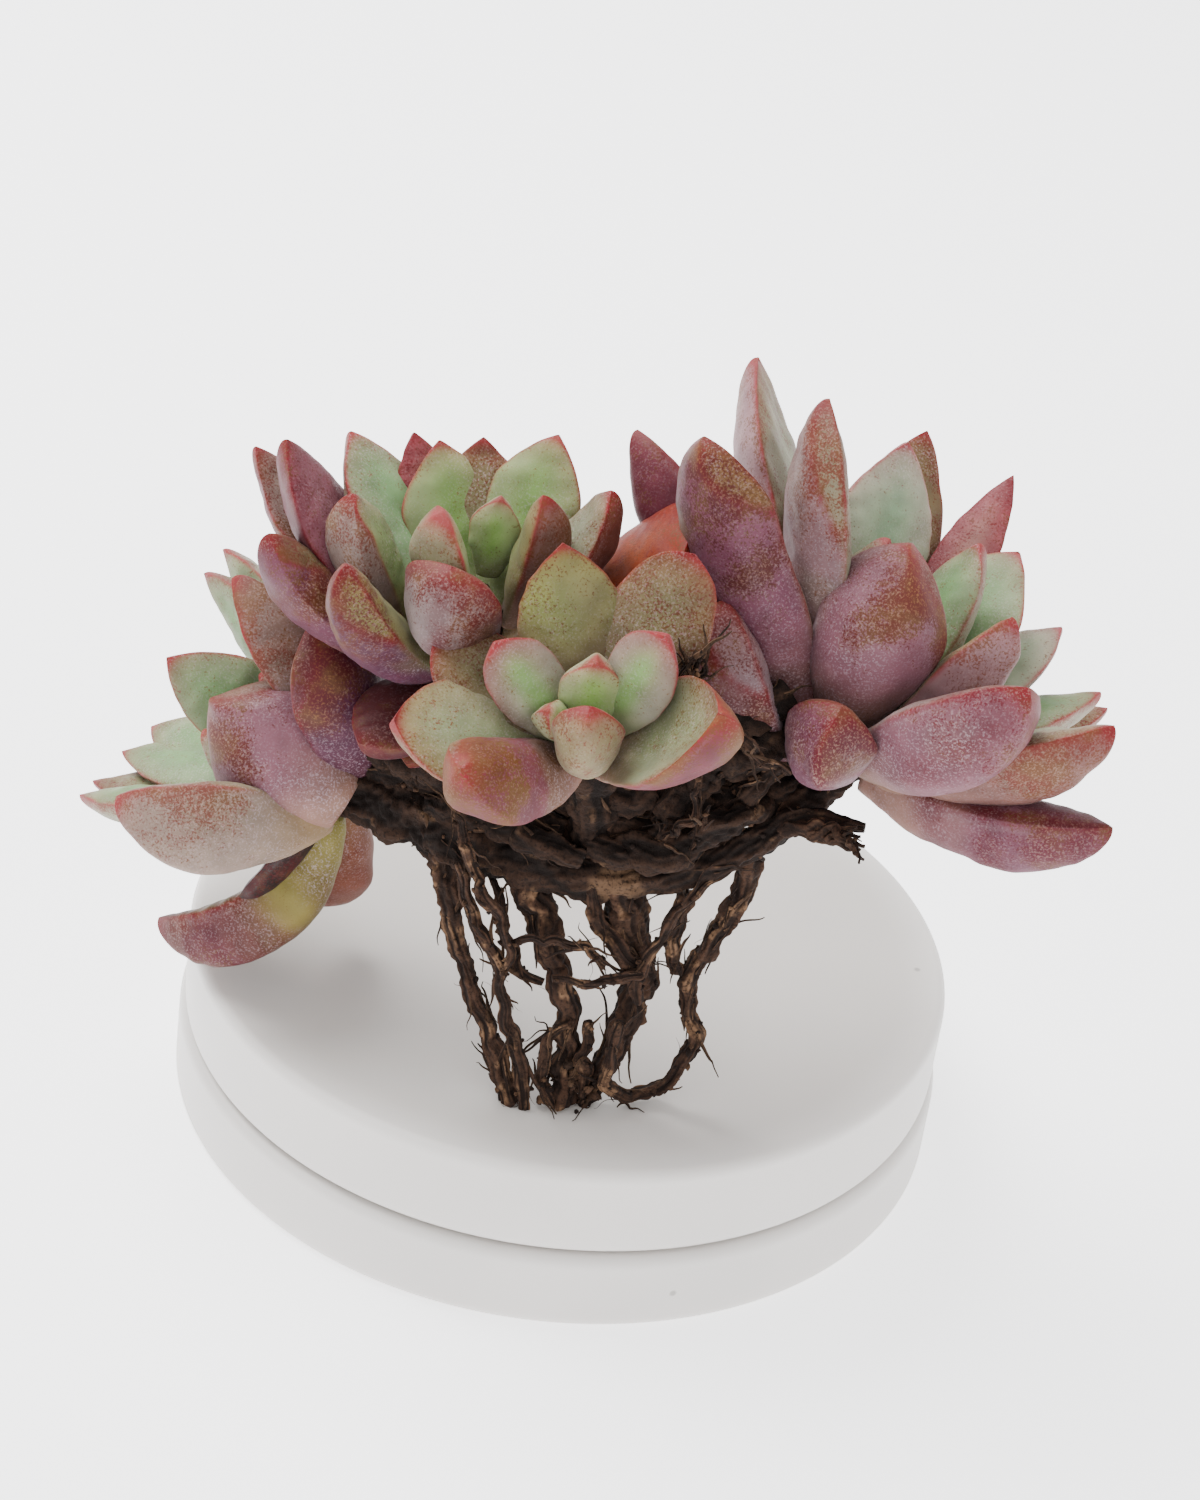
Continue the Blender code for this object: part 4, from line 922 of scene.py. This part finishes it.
def makeFrosted():
    look = standLook
    material, tree, shader = newMaterial("frostedPolypropylene", {
        "IOR": 1.49, "Subsurface Weight": 0.35, "Subsurface Radius": (1.0, 0.95, 0.9),
        "Subsurface Scale": look["scatter"] * mm})
    place = addNode(tree, "TexCoord").outputs["Object"]
    flat = addNode(tree, "VectorMath", {"operation": "MULTIPLY", 1: (1.0, 1.0, 0.0)}, {0: place})
    reach = addNode(tree, "VectorMath", {"operation": "LENGTH"}, {0: flat}).outputs["Value"]
    cloud, grit = [addNode(tree, "TexNoise", {"Scale": 1 / (look[size] * mm), "Detail": 2.0},
                           {"Vector": place}) for size in ("cloudSize", "gritSize")]
    dust = addNode(tree, "TexVoronoi", {"Scale": 1 / (look["speckSpacing"] * mm)}, {"Vector": place})
    # painted light: lighter towards the rim and darker in the middle, by the distance from the axis
    edge = addNode(tree, "MapRange", smooth | {"From Min": look["litRimFrom"] * mm,
                                               "From Max": look["litRimFull"] * mm}, {"Value": reach})
    paintedRimLight = addNode(tree, "Mix", colourMix | {6: toLinear(look["shadedMilk"]), 7: toLinear(look["rim"])}, {0: edge})
    uneven = addNode(tree, "MapRange", {"From Min": 0.3, "From Max": 0.7, "To Min": 0.96, "To Max": 1.04},
                     {"Value": cloud})
    clouded = addNode(tree, "VectorMath", {"operation": "SCALE"}, {0: paintedRimLight.outputs[2], "Scale": uneven})
    dusty = addNode(tree, "MapRange", {"From Min": 0.025, "From Max": 0.05, "To Min": 0.55, "To Max": 0.0},
                    {"Value": dust.outputs["Distance"]})
    colour = addNode(tree, "Mix", colourMix | {7: toLinear(look["speck"])}, {0: dusty, 6: clouded})
    tree.links.new(colour.outputs[2], shader.inputs["Base Color"])
    rough = addNode(tree, "MapRange", {"From Min": 0.3, "From Max": 0.7, "To Min": 0.4, "To Max": 0.52},
                    {"Value": cloud})
    tree.links.new(rough.outputs[0], shader.inputs["Roughness"])
    bump = addNode(tree, "Bump", {"Strength": 0.15, "Distance": 0.05 * mm}, {"Height": grit})
    tree.links.new(bump.outputs[0], shader.inputs["Normal"])
    return material


frosted = makeFrosted()
for name in ("stand_base", "stand_top"):
    finishPiece(turnedDisc(name + "_disc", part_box(name)), frosted, [name])
print("stand")


# Floor, light and camera
stage = {"floor": "#EFEFF0", "glow": 1.9, "sky": (0.99, 0.99, 1.0, 1.0), "skyStrength": 1.5}
aim = (0, -0.01, 0.04)      # m, where both lamps point
lamps = {           # place and size in m, power in W
    "overheadSoftbox": {"place": (-0.30, 0.18, 0.60), "size": 0.5, "power": 9.0},
    "frontFill": {"place": (0.35, -0.55, 0.35), "size": 0.6, "power": 1.0},
}
view = {"elevation": 32.0, "roll": 8.0, "distance": 357.0, "target": (0.3, 0.0, 41.6), "lens": 85.0}

floorMesh = bpy.data.meshes.new("floor")
floorMesh.from_pydata([(-3, -3, 0), (3, -3, 0), (3, 3, 0), (-3, 3, 0)], [], [(0, 1, 2, 3)])
floor = bpy.data.objects.new("floor", floorMesh)
bpy.context.scene.collection.objects.link(floor)
paper, _, _ = newMaterial("paleTable", {
    "Base Color": toLinear(stage["floor"]), "Roughness": 0.8, "Emission Color": toLinear(stage["floor"]),
    "Emission Strength": stage["glow"]})
floorMesh.materials.append(paper)

world = bpy.data.worlds.new("paleRoom")
world.use_nodes = True
background = world.node_tree.nodes["Background"]
background.inputs["Color"].default_value = stage["sky"]
background.inputs["Strength"].default_value = stage["skyStrength"]
bpy.context.scene.world = world

for name, lamp in lamps.items():
    data = bpy.data.lights.new(name, "AREA")
    data.shape = "DISK"
    data.size = lamp["size"]
    data.energy = lamp["power"]
    made = bpy.data.objects.new(name, data)
    made.location = lamp["place"]
    made.rotation_euler = (Vector(aim) - made.location).to_track_quat("-Z", "Y").to_euler()
    bpy.context.scene.collection.objects.link(made)

elevation, roll = math.radians(view["elevation"]), math.radians(view["roll"])
forward = Vector((0, math.cos(elevation), -math.sin(elevation)))
right = Vector((1, 0, 0))
up = right.cross(forward)
turned = Matrix((math.cos(roll) * right + math.sin(roll) * up, math.cos(roll) * up - math.sin(roll) * right,
                 -forward)).transposed().to_4x4()
lens = bpy.data.cameras.new("camera")
lens.lens = view["lens"]
lens.sensor_width = 36
lens.clip_start = 0.01
camera = bpy.data.objects.new("camera", lens)
camera.matrix_world = Matrix.Translation((Vector(view["target"]) - forward * view["distance"]) * mm) @ turned
bpy.context.scene.collection.objects.link(camera)
bpy.context.scene.camera = camera
print("stage")
